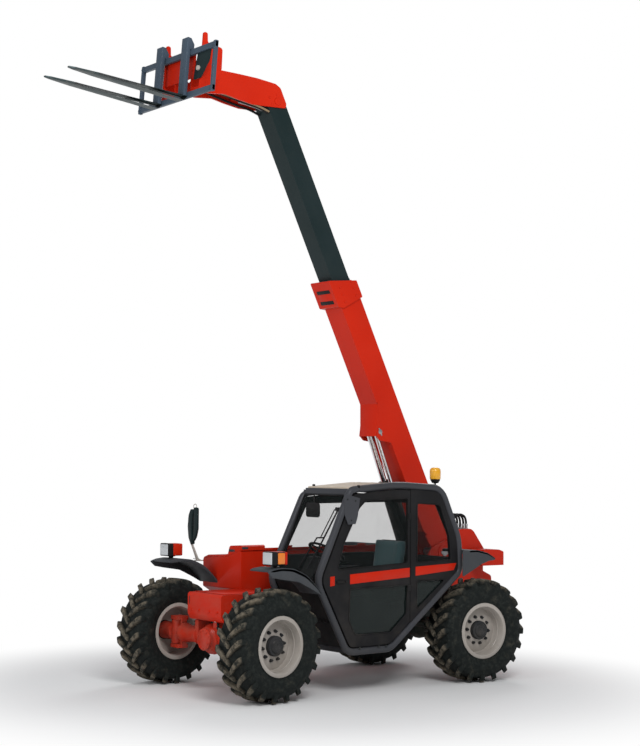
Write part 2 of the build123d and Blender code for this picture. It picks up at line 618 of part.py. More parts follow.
# ---------------------------------------------------------------- boom
def outer_boom():
    """Box section with the guide collar at its mouth, rear ears round the pin and cylinder ears below."""
    tube = sharp((-2790, 0), (190, 0), (300, BOOM_DEPTH), (-2640, BOOM_DEPTH), (-2790, 200))
    collar = [(0, -16, 12), (190, -16, 12), (325, 335, 12), (30, 335, 12), (-10, 270, 0)]
    boom = plate(BOOM, tube, -BOOM_HALF_WIDTH, BOOM_HALF_WIDTH)
    boom += plate(BOOM, collar, -BOOM_HALF_WIDTH - 20, BOOM_HALF_WIDTH + 20)
    inside, roof, floor = INNER_HALF_WIDTH + 12, BOOM_WALL, BOOM_DEPTH - BOOM_WALL
    boom -= plate(BOOM, sharp((-3000, roof), (500, roof), (500, floor), (-3000, floor)), -inside, inside)
    for low, high in COLLAR_SLOTS:
        boom -= plate(BOOM, sharp((55, 306), (215, 306), (215, 345), (55, 345)), low, high)
    ear = [(-2800, 0, 0), (-2700, 0, 0), (-2700, 280, 0), (-2800, 270, 0), (-2900, 240, 60), (-3070, 220, 90),
           (-3070, 70, 90), (-2930, 0, 60)]
    lift_ear = [(-1100, 270, 0), (-1180, 310, 30), (-1320, 378, 0), (-1415, 442, 22), (-1480, 420, 50),
                (-1560, 300, 20), (-1600, 270, 0)]
    for side in (1, -1):
        boom += plate(BOOM, ear, *sorted((side * (BOOM_HALF_WIDTH - 22), side * BOOM_HALF_WIDTH)))
        boom += plate(BOOM, lift_ear, *sorted((side * (BOOM_HALF_WIDTH - 16), side * BOOM_HALF_WIDTH)))
    boom -= cross_bar(BOOM, BOOM_PIVOT, BOOM_PIN_RADIUS + RUNNING_GAP, -200, 200)
    return boom


def inner_boom():
    """Telescoping section that slides in the outer boom."""
    tube = sharp((-620, INNER_TOP), (2165, INNER_TOP), (2240, INNER_BOTTOM), (-620, INNER_BOTTOM))
    section = plate(BOOM, tube, -INNER_HALF_WIDTH, INNER_HALF_WIDTH)
    roof, floor = INNER_TOP + 10, INNER_BOTTOM - 10
    hollow = sharp((-640, roof), (2300, roof), (2300, floor), (-640, floor))
    return section - plate(BOOM, hollow, -INNER_HALF_WIDTH + 10, INNER_HALF_WIDTH - 10)


HEAD = [
    (2135, 62, 20), (2170, 34, 30), (2343, 34, 60), (2402, 75, 40), (2526, 275, 0), (2631, 472, 0), (2758, 721, 0),
    (2790, 770, 20), (2725, 915, 40), (2650, 975, 70), (2575, 930, 60), (2500, 726, 0), (2404, 598, 60),
    (2302, 446, 60), (2229, 284, 60),
]


def boom_head():
    """Gooseneck on the inner boom: two cheek plates, the top cover and the tilt cylinder's pin."""
    head = None
    for side in (1, -1):
        cheek = plate(BOOM, HEAD, *sorted((side * INNER_HALF_WIDTH, side * (INNER_HALF_WIDTH + 18))))
        head = cheek if head is None else head + cheek
    cover = sharp((2180, 36), (2345, 36), (2400, 77), (2526, 277), (2600, 414), (2588, 420), (2515, 285), (2390, 87),
                  (2340, 50), (2180, 50))
    head += plate(BOOM, cover, -INNER_HALF_WIDTH, INNER_HALF_WIDTH)
    web = sharp((2300, 330), (2420, 520), (2410, 528), (2290, 338))
    head += plate(BOOM, web, -INNER_HALF_WIDTH, INNER_HALF_WIDTH)
    head += cross_bar(BOOM, TILT_BASE, TILT_PIN_RADIUS, -INNER_HALF_WIDTH, INNER_HALF_WIDTH)
    head -= cross_bar(BOOM, CARRIAGE_PIVOT, CARRIAGE_PIN_RADIUS + RUNNING_GAP, -200, 200)
    return head


# ---------------------------------------------------------------- carriage and forks
def carriage_hitch():
    """Tilting hitch: pivot lugs, tilt lugs, cross plates and hooked side plates."""
    hitch = cross_bar(CARRIAGE, (0, 0), CARRIAGE_PIN_RADIUS, -160, 160)
    for side in (1, -1):
        inner = sorted((side * 134, side * 152))
        lug = [(-55, -55, 45), (60, -75, 40), (200, -140, 0), (200, 250, 0), (60, 60, 60), (-55, 55, 45)]
        hitch += plate(CARRIAGE, lug, *inner)
        tilt_lug = [(-32, 232, 30), (-32, 168, 30), (60, 150, 30), (200, 60, 0), (200, 250, 0), (60, 240, 40)]
        hitch += plate(CARRIAGE, tilt_lug, *sorted((side * 36, side * 52)))
        outer = [(-12, 330, 30), (-20, 120, 60), (60, -60, 60), (180, -150, 20), (222, -150, 0), (222, 440, 20),
                 (175, 440, 20), (165, 345, 20)]
        hitch += plate(CARRIAGE, outer, *sorted((side * 322, side * 340)))
    hitch += plate(CARRIAGE, sharp((196, 10), (208, 10), (208, 250), (196, 250)), -340, 200)
    hitch += plate(CARRIAGE, sharp((190, 250), (222, 250), (222, 300), (190, 300)), -340, 340)
    hitch += plate(CARRIAGE, sharp((190, -150), (222, -150), (222, -100), (190, -100)), -340, 340)
    return hitch


def fork_carriage():
    """Load frame: two cross bars between end uprights, with the lock plate and its pin behind them."""
    half, shift = 665, -45
    carriage = None
    for low, high in ((224, 282), (-202, -146)):
        one = plate(CARRIAGE, sharp((226, low), (260, low), (260, high), (226, high)), shift - half, shift + half)
        carriage = one if carriage is None else carriage + one
    for y_low, y_high in ((shift - half, shift - half + 32), (shift + half - 32, shift + half)):
        upright = [(224, -210, 8), (264, -210, 8), (264, 290, 8), (224, 290, 8)]
        carriage += plate(CARRIAGE, upright, y_low, y_high)
    lock = sharp((195, 248), (315, 248), (315, 150), (300, -10), (235, -10), (205, 120))
    facing = Plane(origin=(0, 0, 0), x_dir=(0, 0, -1), z_dir=(1, 0, 0))
    carriage += CARRIAGE.location * Pos(210, 0, 0) * facing.location * extrude(outline(lock), amount=16)
    carriage += CARRIAGE.location * Pos(226, 54, -272) * Rot(0, 90, 0) * extrude(RegularPolygon(22, 12), amount=18)
    return carriage


FORK_PLACES = (140.0, -320.0)
FORK_HALF_WIDTH = 52.0
FORK_LENGTH = 1290.0


def forks():
    """Pallet forks: hooked shank, heel and tapered blade."""
    toe = 265 + FORK_LENGTH
    shape = [(265, -235, 50), (toe, -208, 0), (toe, -196, 0), (700, -190, 0), (305, -190, 14), (305, 400, 6),
             (262, 396, 0), (222, 340, 0), (222, 286, 0), (265, 286, 0)]
    made = []
    for middle in FORK_PLACES:
        made.append(plate(CARRIAGE, shape, middle - FORK_HALF_WIDTH, middle + FORK_HALF_WIDTH))
    return made


# ---------------------------------------------------------------- cylinders
def cylinder(base, eye, barrel_length, radius, rod_radius, y, eye_half, pin_radius, hidden, travel):
    """Barrel and rod between two points in the machine's side view, at a distance left of the middle.

    The rod reaches a hidden length down its barrel, whose bore leaves room for the rod's travel.
    """
    start, end = Vector(base[0], y, base[1]), Vector(eye[0], y, eye[1])
    along = (end - start).normalized()
    neck = start + along * barrel_length
    barrel = bar(start, neck, radius, 16)
    barrel += Pos(start.X, y, start.Z) * Rot(90, 0, 0) * Cylinder(radius, 2 * eye_half)
    barrel -= bar(start + along * (barrel_length - hidden - travel - 10), neck + along * 5, rod_radius + 2, 16)
    barrel -= Pos(start.X, y, start.Z) * Rot(90, 0, 0) * Cylinder(pin_radius + 0.05, 3 * eye_half)
    rod = bar(start + along * (barrel_length - hidden), end, rod_radius, 16)
    rod += Pos(end.X, y, end.Z) * Rot(90, 0, 0) * Cylinder(rod_radius + 14, 2 * eye_half)
    return barrel, rod


LIFT_Y, LEVEL_Y = BOOM_Y - 48, BOOM_Y + 60
LIFT_BARREL = 1180.0


def lift_cylinders():
    """Lift cylinder and the thinner levelling cylinder beside it, on the same pins."""
    eye = (EAR_X, EAR_Z)
    lift = cylinder(LIFT_BASE, eye, LIFT_BARREL, 62, 36, LIFT_Y, 44, LIFT_PIN_RADIUS, 120, 450)
    level = cylinder(LIFT_BASE, eye, LIFT_BARREL - 40, 44, 23, LEVEL_Y, 36, LIFT_PIN_RADIUS, 120, 450)
    return [lift[0], level[0]], [lift[1], level[1]]


def tilt_cylinder():
    """Tilt cylinder from the head's pin to the hitch."""
    base, eye = (TILT_BASE_X, TILT_BASE_Z), (TILT_LUG_X, TILT_LUG_Z)
    return cylinder(base, eye, 590, 42, 25, BOOM_Y, 30, TILT_PIN_RADIUS, 230, 200)


def tower_hoses():
    """Hoses that loop from the bulkhead on the tower down into the boom's open end."""
    path = [(-2028, 1531), (-2034, 1600), (-2016, 1660), (-1976, 1696), (-1926, 1704), (-1876, 1690), (-1836, 1650),
            (-1814, 1596), (-1804, 1500)]
    return [mitred(path, BOOM_Y - 75 + 50 * index, 13, 8, False) for index in range(4)]


# ---------------------------------------------------------------- assembly
def machine():
    """Every piece of the machine by name."""
    parts = {
        "chassis_frame": chassis_frame(),
        "boom_pin": boom_pin(),
        "counterweight": counterweight(),
        "engine_block": engine_block(),
        "engine_hood": engine_hood(),
        "hood_lid": hood_lid(),
        "drivetrain": drivetrain(),
        "front_axle": axle(FRONT_X, -1),
        "rear_axle": axle(REAR_X, 1),
        "cab_frame": cab_frame(),
        "cab_shell": cab_shell(),
        "cab_roof": cab_roof(),
        "windshield": windshield(),
        "cab_windows": cab_windows(),
        "door_frame": door_frame(),
        "door_glass": door_glass(),
        "seat": seat(),
        "dashboard": dashboard(),
        "steering_wheel": steering_wheel(),
        "fenders": fenders(),
        "lamp_housings": lamp_housings(),
        "lamp_lenses": lamp_lenses(),
        "beacon": beacon(),
        "side_mirror": side_mirror(),
        "tower_hoses": tower_hoses(),
        "outer_boom": outer_boom(),
        "inner_boom": inner_boom(),
        "boom_head": boom_head(),
        "carriage_hitch": carriage_hitch(),
        "fork_carriage": fork_carriage(),
        "forks": forks(),
    }
    parts["lift_barrels"], parts["lift_rods"] = lift_cylinders()
    parts["tilt_barrel"], parts["tilt_rod"] = tilt_cylinder()
    shapes = {"tyre": tyre(), "rim": rim(), "knuckle": knuckle()}
    for end, x, steer in (("front", FRONT_X, FRONT_STEER), ("rear", REAR_X, REAR_STEER)):
        for name, side in (("left", 1), ("right", -1)):
            place = corner(x, side, steer)
            wheel_place = place * Pos(0, side * (TRACK / 2 - KINGPIN_Y), 0)
            for kind, shape in shapes.items():
                solid = shape if side > 0 else shape.mirror(Plane.XZ)
                if kind == "knuckle" and end == "rear":
                    solid = solid.mirror(Plane.YZ)
                parts[f"{kind}_{end}_{name}"] = (place if kind == "knuckle" else wheel_place) * solid
    return parts


def main():
    os.makedirs("parts", exist_ok=True)
    parts = {name: shape if isinstance(shape, list) else [shape] for name, shape in machine().items()}
    boxes = [solid.bounding_box() for solids in parts.values() for solid in solids]
    middle_x = (min(box.min.X for box in boxes) + max(box.max.X for box in boxes)) / 2
    middle_y = (min(box.min.Y for box in boxes) + max(box.max.Y for box in boxes)) / 2
    place = Pos(-middle_x, -middle_y, -min(box.min.Z for box in boxes))
    for name, solids in parts.items():
        placed = [place * solid for solid in solids]
        export_step(placed[0] if len(placed) == 1 else Compound(children=placed), f"parts/{name}.step")


if __name__ == "__main__":
    main()
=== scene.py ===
"""Looks of a compact telehandler: finishes and fine detail fitted over its packed assembly.

Everything is drawn in millimetres about the middle of the wheelbase at ground level, with +X forward,
+Y to the driver's left and +Z up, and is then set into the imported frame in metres.
"""
from __future__ import annotations

import json
import logging
import math
from dataclasses import dataclass
from enum import Enum
from typing import Callable, Iterable, Sequence

import bpy
from mathutils import Matrix, Vector

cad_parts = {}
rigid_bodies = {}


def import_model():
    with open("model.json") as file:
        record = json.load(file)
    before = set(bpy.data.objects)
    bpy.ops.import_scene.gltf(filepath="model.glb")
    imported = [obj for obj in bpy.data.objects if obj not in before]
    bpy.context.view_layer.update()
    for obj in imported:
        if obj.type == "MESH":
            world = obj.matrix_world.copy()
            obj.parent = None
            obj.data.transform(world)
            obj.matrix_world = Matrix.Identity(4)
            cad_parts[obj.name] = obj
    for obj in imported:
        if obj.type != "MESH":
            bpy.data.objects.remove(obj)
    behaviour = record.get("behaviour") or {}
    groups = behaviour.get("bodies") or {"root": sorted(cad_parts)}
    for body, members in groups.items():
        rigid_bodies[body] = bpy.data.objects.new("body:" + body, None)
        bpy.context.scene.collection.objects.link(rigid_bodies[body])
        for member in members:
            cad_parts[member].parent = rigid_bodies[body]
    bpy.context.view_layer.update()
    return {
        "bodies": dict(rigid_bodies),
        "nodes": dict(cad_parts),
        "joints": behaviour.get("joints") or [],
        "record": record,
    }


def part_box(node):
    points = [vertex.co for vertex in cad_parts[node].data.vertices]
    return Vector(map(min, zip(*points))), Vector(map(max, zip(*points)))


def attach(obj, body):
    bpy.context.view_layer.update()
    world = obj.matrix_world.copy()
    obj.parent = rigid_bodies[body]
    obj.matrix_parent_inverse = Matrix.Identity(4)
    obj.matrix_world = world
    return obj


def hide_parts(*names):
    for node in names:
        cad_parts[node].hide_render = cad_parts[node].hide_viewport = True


LOG = logging.getLogger("telehandler")

Point = tuple[float, float, float]
Flat = tuple[float, float]
Colour = tuple[float, float, float]
Piece = bpy.types.Object

MM = 0.001  # metres in a millimetre


# ---------------------------------------------------------------- sizes shared with the solids
@dataclass(frozen=True)
class Machine:
    """Driving sizes of the machine in millimetres."""

    axle_x: float = 1355.0
    axle_z: float = 535.0
    kingpin_y: float = 690.0
    hub_reach: float = 165.0
    steer: float = 6.3
    boom_y: float = -70.0
    boom_angle: float = 63.5
    boom_reference: Flat = (-408.0, 4022.0)
    boom_pivot: Flat = (-2970.0, 150.0)
    ear_pin: Flat = (-1400.0, 375.0)
    tilt_base: Flat = (2230.0, 130.0)
    carriage_pivot: Flat = (2650.0, 900.0)
    lift_base: Flat = (-1365.0, 980.0)
    fork_tilt: float = 4.5

    def boom_point(self, along: float, under: float) -> Flat:
        """Give the machine X and Z of a point along the boom and below its top edge."""
        cos, sin = math.cos(math.radians(self.boom_angle)), math.sin(math.radians(self.boom_angle))
        x, z = self.boom_reference
        return x + along * cos + under * sin, z + along * sin - under * cos

    def boom_frame(self) -> Matrix:
        """Give the place of the boom: X along it, Y to the left, Z out of its upper face."""
        x, z = self.boom_reference
        turn = Matrix.Rotation(-math.radians(self.boom_angle), 4, "Y")
        return Matrix.Translation((x, self.boom_y, z)) @ turn

    def carriage_frame(self) -> Matrix:
        """Give the place of the fork carriage: X forward, Y to the left, Z up along the shanks."""
        x, z = self.boom_point(*self.carriage_pivot)
        turn = Matrix.Rotation(-math.radians(self.fork_tilt), 4, "Y")
        return Matrix.Translation((x, self.boom_y, z)) @ turn


MACHINE = Machine()


# ---------------------------------------------------------------- node graph
class Signal:
    """A number, colour or vector that flows through a material's node graph."""

    def __init__(self, graph: "Graph", socket: bpy.types.NodeSocket) -> None:
        self.graph = graph
        self.socket = socket

    def __add__(self, other: "Signal | float") -> "Signal":
        return self.graph.math("ADD", self, other)

    def __sub__(self, other: "Signal | float") -> "Signal":
        return self.graph.math("SUBTRACT", self, other)

    def __mul__(self, other: "Signal | float") -> "Signal":
        return self.graph.math("MULTIPLY", self, other)

    def __rsub__(self, other: float) -> "Signal":
        return self.graph.math("SUBTRACT", other, self)

    def __gt__(self, other: "Signal | float") -> "Signal":
        return self.graph.math("GREATER_THAN", self, other)

    def __lt__(self, other: "Signal | float") -> "Signal":
        return self.graph.math("LESS_THAN", self, other)

    def band(self, low: float, high: float) -> "Signal":
        """Rise smoothly from nought at low to one at high."""
        return self.graph.ramp(self, low, high, smooth=True)


class Graph:
    """Builds one material's nodes; every node is made by the same method."""

    def __init__(self, name: str) -> None:
        self.material = bpy.data.materials.new(name)
        self.material.use_nodes = True
        self.tree = self.material.node_tree
        self.tree.nodes.clear()
        self.place = self.node("ShaderNodeTexCoord", output="Object")

    def node(self, kind: str, settings: dict | None = None, inputs: dict | None = None,
             output: str | int = 0) -> Signal:
        """Add a node.

        Args:
            kind: The node's type name.
            settings: Properties of the node.
            inputs: Values or signals by socket name or number.
            output: The socket that the signal comes from.

        Returns:
            The signal at that output.
        """
        made = self.tree.nodes.new(kind)
        for key, value in (settings or {}).items():
            setattr(made, key, value)
        for key, value in (inputs or {}).items():
            socket = made.inputs[key]
            if isinstance(value, Signal):
                self.tree.links.new(value.socket, socket)
            else:
                socket.default_value = value
        return Signal(self, made.outputs[output] if made.outputs else made.inputs[0])

    def math(self, operation: str, first: Signal | float, second: Signal | float = 0.0) -> Signal:
        """Combine two numbers."""
        return self.node("ShaderNodeMath", {"operation": operation}, {0: first, 1: second})

    def ramp(self, value: Signal, low: float, high: float, smooth: bool = False) -> Signal:
        """Map a number from low..high to nought..one, held at both ends."""
        settings = {"interpolation_type": "SMOOTHSTEP" if smooth else "LINEAR", "clamp": True}
        return self.node("ShaderNodeMapRange", settings, {"Value": value, "From Min": low, "From Max": high})

    def mix(self, share: Signal | float, first: Signal | Colour, second: Signal | Colour) -> Signal:
        """Mix two colours by a share of the second."""
        sides = [value if isinstance(value, Signal) else (*value, 1.0) for value in (first, second)]
        return self.node("ShaderNodeMix", {"data_type": "RGBA"}, {0: share, 6: sides[0], 7: sides[1]}, output=2)

    def noise(self, scale: float, detail: float = 3.0, rough: float = 0.55, stretch: Point | None = None) -> Signal:
        """Cloudy noise over the object's own coordinates, per metre, with an optional stretch."""
        place = self.place
        if stretch:
            place = self.node("ShaderNodeMapping", None, {"Vector": place, "Scale": stretch})
        inputs = {"Vector": place, "Scale": scale, "Detail": detail, "Roughness": rough}
        return self.node("ShaderNodeTexNoise", None, inputs)

    def axis(self, letter: str) -> Signal:
        """One of the object's own coordinates in metres."""
        return self.node("ShaderNodeSeparateXYZ", None, {0: self.place}, output="XYZ".index(letter))

    def bump(self, height: Signal, strength: float, distance: float) -> Signal:
        """Turn a height into a normal, with its distance in millimetres."""
        return self.node("ShaderNodeBump", None, {"Height": height, "Strength": strength,
                                                  "Distance": distance * MM})

    def surface(self, **inputs: Signal | float | tuple) -> Signal:
        """Add the principled shader; underscores in names stand for spaces."""
        named = {key.replace("_", " "): value for key, value in inputs.items()}
        return self.node("ShaderNodeBsdfPrincipled", None, named)

    def finish(self, shader: Signal) -> bpy.types.Material:
        """Join a shader to the output."""
        self.node("ShaderNodeOutputMaterial", None, {0: shader})
        return self.material


# ---------------------------------------------------------------- finishes
class Surface(Enum):
    """Kinds of surface, each with its own procedural recipe."""

    PAINT = "paint"
    CAST = "cast"
    PLASTIC = "plastic"
    RUBBER = "rubber"
    STEEL = "steel"
    CHROME = "chrome"
    GLASS = "glass"
    LENS = "lens"
    CLOTH = "cloth"
    MIRROR = "mirror"


@dataclass(frozen=True)
class Finish:
    """What a surface is made of.

    Attributes:
        name: Name of the finish and its material.
        surface: Recipe that builds it.
        colour: Main colour, linear.
        shade: Colour that the variation leans to.
        roughness: Middle roughness.
        slot: The record's material slot it stands for; not used.
        coat: Clear coat weight.
        grain: Bump height in millimetres.
        dust: Share of dust low on the machine.
        alpha: Opacity of glass.
        sheen: Level of mirror-like reflection.
    """

    name: str
    surface: Surface
    colour: Colour
    shade: Colour
    roughness: float
    slot: str
    coat: float = 0.0
    grain: float = 0.1
    dust: float = 0.35
    alpha: float = 1.0
    sheen: float = 0.08


GLOSS_RED = (0.56, 0.020, 0.005)
DEEP_RED = (0.45, 0.014, 0.004)


class Paints(Enum):
    """Every finish on the machine."""

    RED = Finish("gloss_red", Surface.PAINT, GLOSS_RED, DEEP_RED, 0.30, "hull_red", coat=0.03, grain=0.05, dust=0.2)
    BOOM_RED = Finish("boom_gloss_red", Surface.PAINT, GLOSS_RED, DEEP_RED, 0.30, "boom_red", coat=0.03, grain=0.05,
                      dust=0.1)
    CHASSIS = Finish("chassis_paint", Surface.PAINT, GLOSS_RED, DEEP_RED, 0.34, "hull_red", coat=0.03, grain=0.06,
                     dust=0.4)
    AXLE = Finish("axle_red_cast", Surface.CAST, (0.52, 0.03, 0.012), (0.36, 0.02, 0.01), 0.42, "axle_red",
                  coat=0.2, grain=0.5, dust=0.6)
    REAR_AXLE = Finish("axle_dark_cast", Surface.CAST, (0.016, 0.024, 0.022), (0.030, 0.036, 0.033), 0.45,
                       "axle_red", coat=0.1, grain=0.5, dust=0.4)
    DARK = Finish("satin_black", Surface.PAINT, (0.018, 0.021, 0.022), (0.035, 0.038, 0.038), 0.45, "frame_paint",
                  coat=0.1, grain=0.06, dust=0.35)
    CHARCOAL = Finish("cab_charcoal", Surface.PAINT, (0.052, 0.054, 0.062), (0.040, 0.042, 0.046), 0.36, "cab_grey",
                      coat=0.08, grain=0.06, dust=0.15)
    LINING = Finish("cab_lining", Surface.PLASTIC, (0.012, 0.012, 0.013), (0.022, 0.022, 0.024), 0.5, "cab_lining",
                    grain=0.12, dust=0.15)
    CREAM = Finish("roof_cream", Surface.PAINT, (0.62, 0.53, 0.42), (0.52, 0.42, 0.33), 0.4, "roof_cream", coat=0.2,
                   grain=0.12, dust=0.1)
    FENDER = Finish("moulded_grey", Surface.PLASTIC, (0.050, 0.055, 0.062), (0.070, 0.074, 0.080), 0.48,
                    "fender_grey", grain=0.18, dust=0.3)
    BLACK = Finish("black_plastic", Surface.PLASTIC, (0.012, 0.012, 0.013), (0.026, 0.026, 0.027), 0.45,
                   "black_plastic", grain=0.1, dust=0.2)
    GREEN_BLACK = Finish("boom_green_black", Surface.PAINT, (0.010, 0.020, 0.021), (0.019, 0.031, 0.034), 0.42,
                         "boom_dark", coat=0.04, grain=0.07, dust=0.15)
    BLUE_GREY = Finish("carriage_blue_grey", Surface.PAINT, (0.055, 0.080, 0.110), (0.038, 0.056, 0.080), 0.42,
                       "carriage_blue", coat=0.15, grain=0.08, dust=0.2)
    FORK = Finish("fork_steel", Surface.STEEL, (0.035, 0.052, 0.055), (0.10, 0.105, 0.10), 0.42, "fork_steel",
                  grain=0.12, dust=0.2)
    PIN = Finish("pin_steel", Surface.STEEL, (0.38, 0.38, 0.39), (0.22, 0.21, 0.20), 0.34, "pin_steel", grain=0.06,
                 dust=0.1)
    CHROME = Finish("rod_chrome", Surface.CHROME, (0.72, 0.73, 0.75), (0.55, 0.56, 0.58), 0.12, "rod_chrome",
                    grain=0.01, dust=0.05)
    TYRE = Finish("tyre_rubber", Surface.RUBBER, (0.010, 0.0125, 0.012), (0.030, 0.034, 0.031), 0.62, "tyre_rubber",
                  grain=0.35, dust=0.55)
    RIM = Finish("rim_grey_beige", Surface.PAINT, (0.42, 0.385, 0.35), (0.33, 0.30, 0.27), 0.38, "rim_beige",
                 coat=0.2, grain=0.09, dust=0.35)
    HUB = Finish("hub_grey", Surface.CAST, (0.026, 0.028, 0.031), (0.018, 0.018, 0.020), 0.45, "rim_beige",
                 coat=0.1, grain=0.25, dust=0.3)
    GLASS = Finish("cab_glass", Surface.GLASS, (0.010, 0.016, 0.015), (0.022, 0.030, 0.028), 0.04, "glass_tint",
                   alpha=0.14)
    AMBER = Finish("amber_lens", Surface.LENS, (0.72, 0.17, 0.006), (0.82, 0.26, 0.010), 0.14, "amber", coat=0.4)
    BEACON = Finish("beacon_amber", Surface.LENS, (0.78, 0.36, 0.008), (0.86, 0.46, 0.02), 0.14, "amber", coat=0.4)
    CLEAR = Finish("clear_lens", Surface.LENS, (0.44, 0.46, 0.48), (0.62, 0.64, 0.66), 0.10, "lens_white", coat=0.5)
    HOSE = Finish("hose_rubber", Surface.RUBBER, (0.010, 0.010, 0.011), (0.022, 0.022, 0.022), 0.5, "hose_rubber",
                  grain=0.1, dust=0.15)
    TAN_HOSE = Finish("tan_hose", Surface.RUBBER, (0.24, 0.17, 0.10), (0.30, 0.22, 0.13), 0.55, "hose_rubber",
                      grain=0.1, dust=0.1)
    CLOTH = Finish("seat_cloth", Surface.CLOTH, (0.028, 0.075, 0.085), (0.045, 0.11, 0.12), 0.8, "seat_cloth",
                   grain=0.5, dust=0.0)
    SILVER = Finish("mirror_silver", Surface.MIRROR, (0.80, 0.82, 0.84), (0.7, 0.72, 0.74), 0.05, "black_plastic")


class FinishShop:
    """Turns finishes into procedural materials and keeps each one once."""

    dust: Colour = (0.20, 0.165, 0.125)
    soil: Colour = (0.15, 0.135, 0.10)
    trodden: Colour = (0.27, 0.225, 0.165)
    rust: Colour = (0.13, 0.055, 0.025)
    dust_top: float = 1.3  # metres
    belly: Point = (-1.60, 0.47, 0.92)  # rear, front and top of the dark underside, in metres
    low_pane: Flat = (1.04, 1.10)  # heights between which the door glass clears, in metres; below them the panes are painted dark as the shade of the cab inside
    prism: float = 1.5

    def __init__(self) -> None:
        self.made: dict[str, bpy.types.Material] = {}
        self.recipes: dict[Surface, Callable[[Graph, Finish], Signal]] = {
            Surface.PAINT: self._paint,
            Surface.CAST: self._cast,
            Surface.PLASTIC: self._plastic,
            Surface.RUBBER: self._rubber,
            Surface.STEEL: self._steel,
            Surface.CHROME: self._chrome,
            Surface.GLASS: self._glass,
            Surface.LENS: self._lens,
            Surface.CLOTH: self._cloth,
            Surface.MIRROR: self._mirror,
        }

    def material(self, finish: Finish) -> bpy.types.Material:
        """Give the material of a finish, made on first use."""
        if finish.name not in self.made:
            graph = Graph(finish.name)
            self.made[finish.name] = graph.finish(self.recipes[finish.surface](graph, finish))
        return self.made[finish.name]

    @staticmethod
    def _dusted(graph: Graph, finish: Finish, colour: Signal) -> tuple[Signal, Signal]:
        """Lay dust over a colour, more of it low down and in clouds.

        Returns:
            The dusted colour and the share of dust.
        """
        low = 1.0 - graph.ramp(graph.axis("Z"), 0.0, FinishShop.dust_top)
        cloud = graph.noise(5.0, 6.0, 0.65).band(0.35, 0.75)
        share = (low * 0.8 + 0.12) * cloud * finish.dust
        return graph.mix(share, colour, FinishShop.dust), share

    def _paint(self, graph: Graph, finish: Finish) -> Signal:
        """Sprayed paint: faint orange peel, slow tone drift, chips and road dust."""
        drift = graph.noise(1.1, 2.0).band(0.3, 0.7)
        base = graph.mix(drift * 0.55, finish.colour, finish.shade)
        if finish is Paints.CHASSIS.value:
            x, z = graph.axis("X"), graph.axis("Z")
            rear, front, top = self.belly
            base = graph.mix((x > rear) * (x < front) * (z < top), base, Paints.DARK.value.colour)
        chips = graph.noise(48.0, 7.0, 0.7).band(0.69, 0.74)
        base = graph.mix(chips * 0.5, base, tuple(part * 0.45 for part in finish.colour))
        base, dust = self._dusted(graph, finish, base)
        peel = graph.noise(260.0, 2.0)
        waves = graph.noise(9.0, 3.0)
        rough = dust * 0.5 + graph.noise(14.0, 4.0) * 0.10 + (finish.roughness - 0.05)
        normal = graph.bump(peel * 0.5 + waves, 0.25, finish.grain)
        return graph.surface(Base_Color=base, Roughness=rough, Coat_Weight=finish.coat, Coat_Roughness=0.12,
                             Specular_IOR_Level=finish.sheen, Normal=normal)

    def _cast(self, graph: Graph, finish: Finish) -> Signal:
        """Painted casting: sandy surface with runs of grime."""
        sand = graph.noise(120.0, 5.0, 0.7)
        grime = graph.noise(7.0, 6.0, 0.7).band(0.45, 0.8)
        base = graph.mix(grime * 0.8, finish.colour, finish.shade)
        base, dust = self._dusted(graph, finish, base)
        rough = dust * 0.4 + grime * 0.15 + finish.roughness
        return graph.surface(Base_Color=base, Roughness=rough, Coat_Weight=finish.coat, Coat_Roughness=0.2,
                             Specular_IOR_Level=finish.sheen, Normal=graph.bump(sand, 0.35, finish.grain))

    def _plastic(self, graph: Graph, finish: Finish) -> Signal:
        """Moulded plastic: fine leather grain and sun-bleached patches."""
        grain = graph.node("ShaderNodeTexVoronoi", {"feature": "F1"}, {"Vector": graph.place, "Scale": 420.0})
        bleach = graph.noise(2.4, 4.0).band(0.4, 0.75)
        base = graph.mix(bleach * 0.6, finish.colour, finish.shade)
        base, dust = self._dusted(graph, finish, base)
        rough = graph.noise(30.0, 3.0) * 0.12 + dust * 0.3 + (finish.roughness - 0.06)
        return graph.surface(Base_Color=base, Roughness=rough, Specular_IOR_Level=finish.sheen,
                             Normal=graph.bump(grain, 0.35, finish.grain))

    def _rubber(self, graph: Graph, finish: Finish) -> Signal:
        """Rubber: scuffed, with pale soil caught in it."""
        scuff = graph.noise(26.0, 7.0, 0.7)
        tone = scuff.band(0.42, 0.72)
        base = graph.mix(tone * 0.7, finish.colour, finish.shade)
        soil = graph.noise(9.0, 8.0, 0.72).band(0.52, 0.78)
        base = graph.mix(soil * finish.dust * 0.45, base, self.soil)
        crest = graph.node("ShaderNodeAttribute", {"attribute_name": "crest"}, output="Fac")
        trodden = crest * graph.noise(17.0, 6.0, 0.7).band(0.34, 0.66) * 0.6
        base = graph.mix(trodden, base, self.trodden)
        rough = tone * 0.16 + (finish.roughness - 0.04)
        return graph.surface(Base_Color=base, Roughness=rough, Specular_IOR_Level=finish.sheen,
                             Normal=graph.bump(scuff, 0.4, finish.grain))

    def _steel(self, graph: Graph, finish: Finish) -> Signal:
        """Worn steel: lengthwise scratches, rubbed bright patches and a little rust."""
        scratch = graph.noise(55.0, 6.0, 0.7, stretch=(0.12, 1.0, 1.0))
        rubbed = graph.noise(6.0, 5.0, 0.65).band(0.48, 0.70)
        base = graph.mix(rubbed * 0.7, finish.colour, finish.shade)
        rust = graph.noise(21.0, 8.0, 0.75).band(0.66, 0.76)
        base = graph.mix(rust * 0.45, base, self.rust)
        rough = scratch * 0.22 + rust * 0.25 + (finish.roughness - 0.08)
        return graph.surface(Base_Color=base, Roughness=rough, Metallic=0.85 - rust * 0.7,
                             Normal=graph.bump(scratch, 0.3, finish.grain))

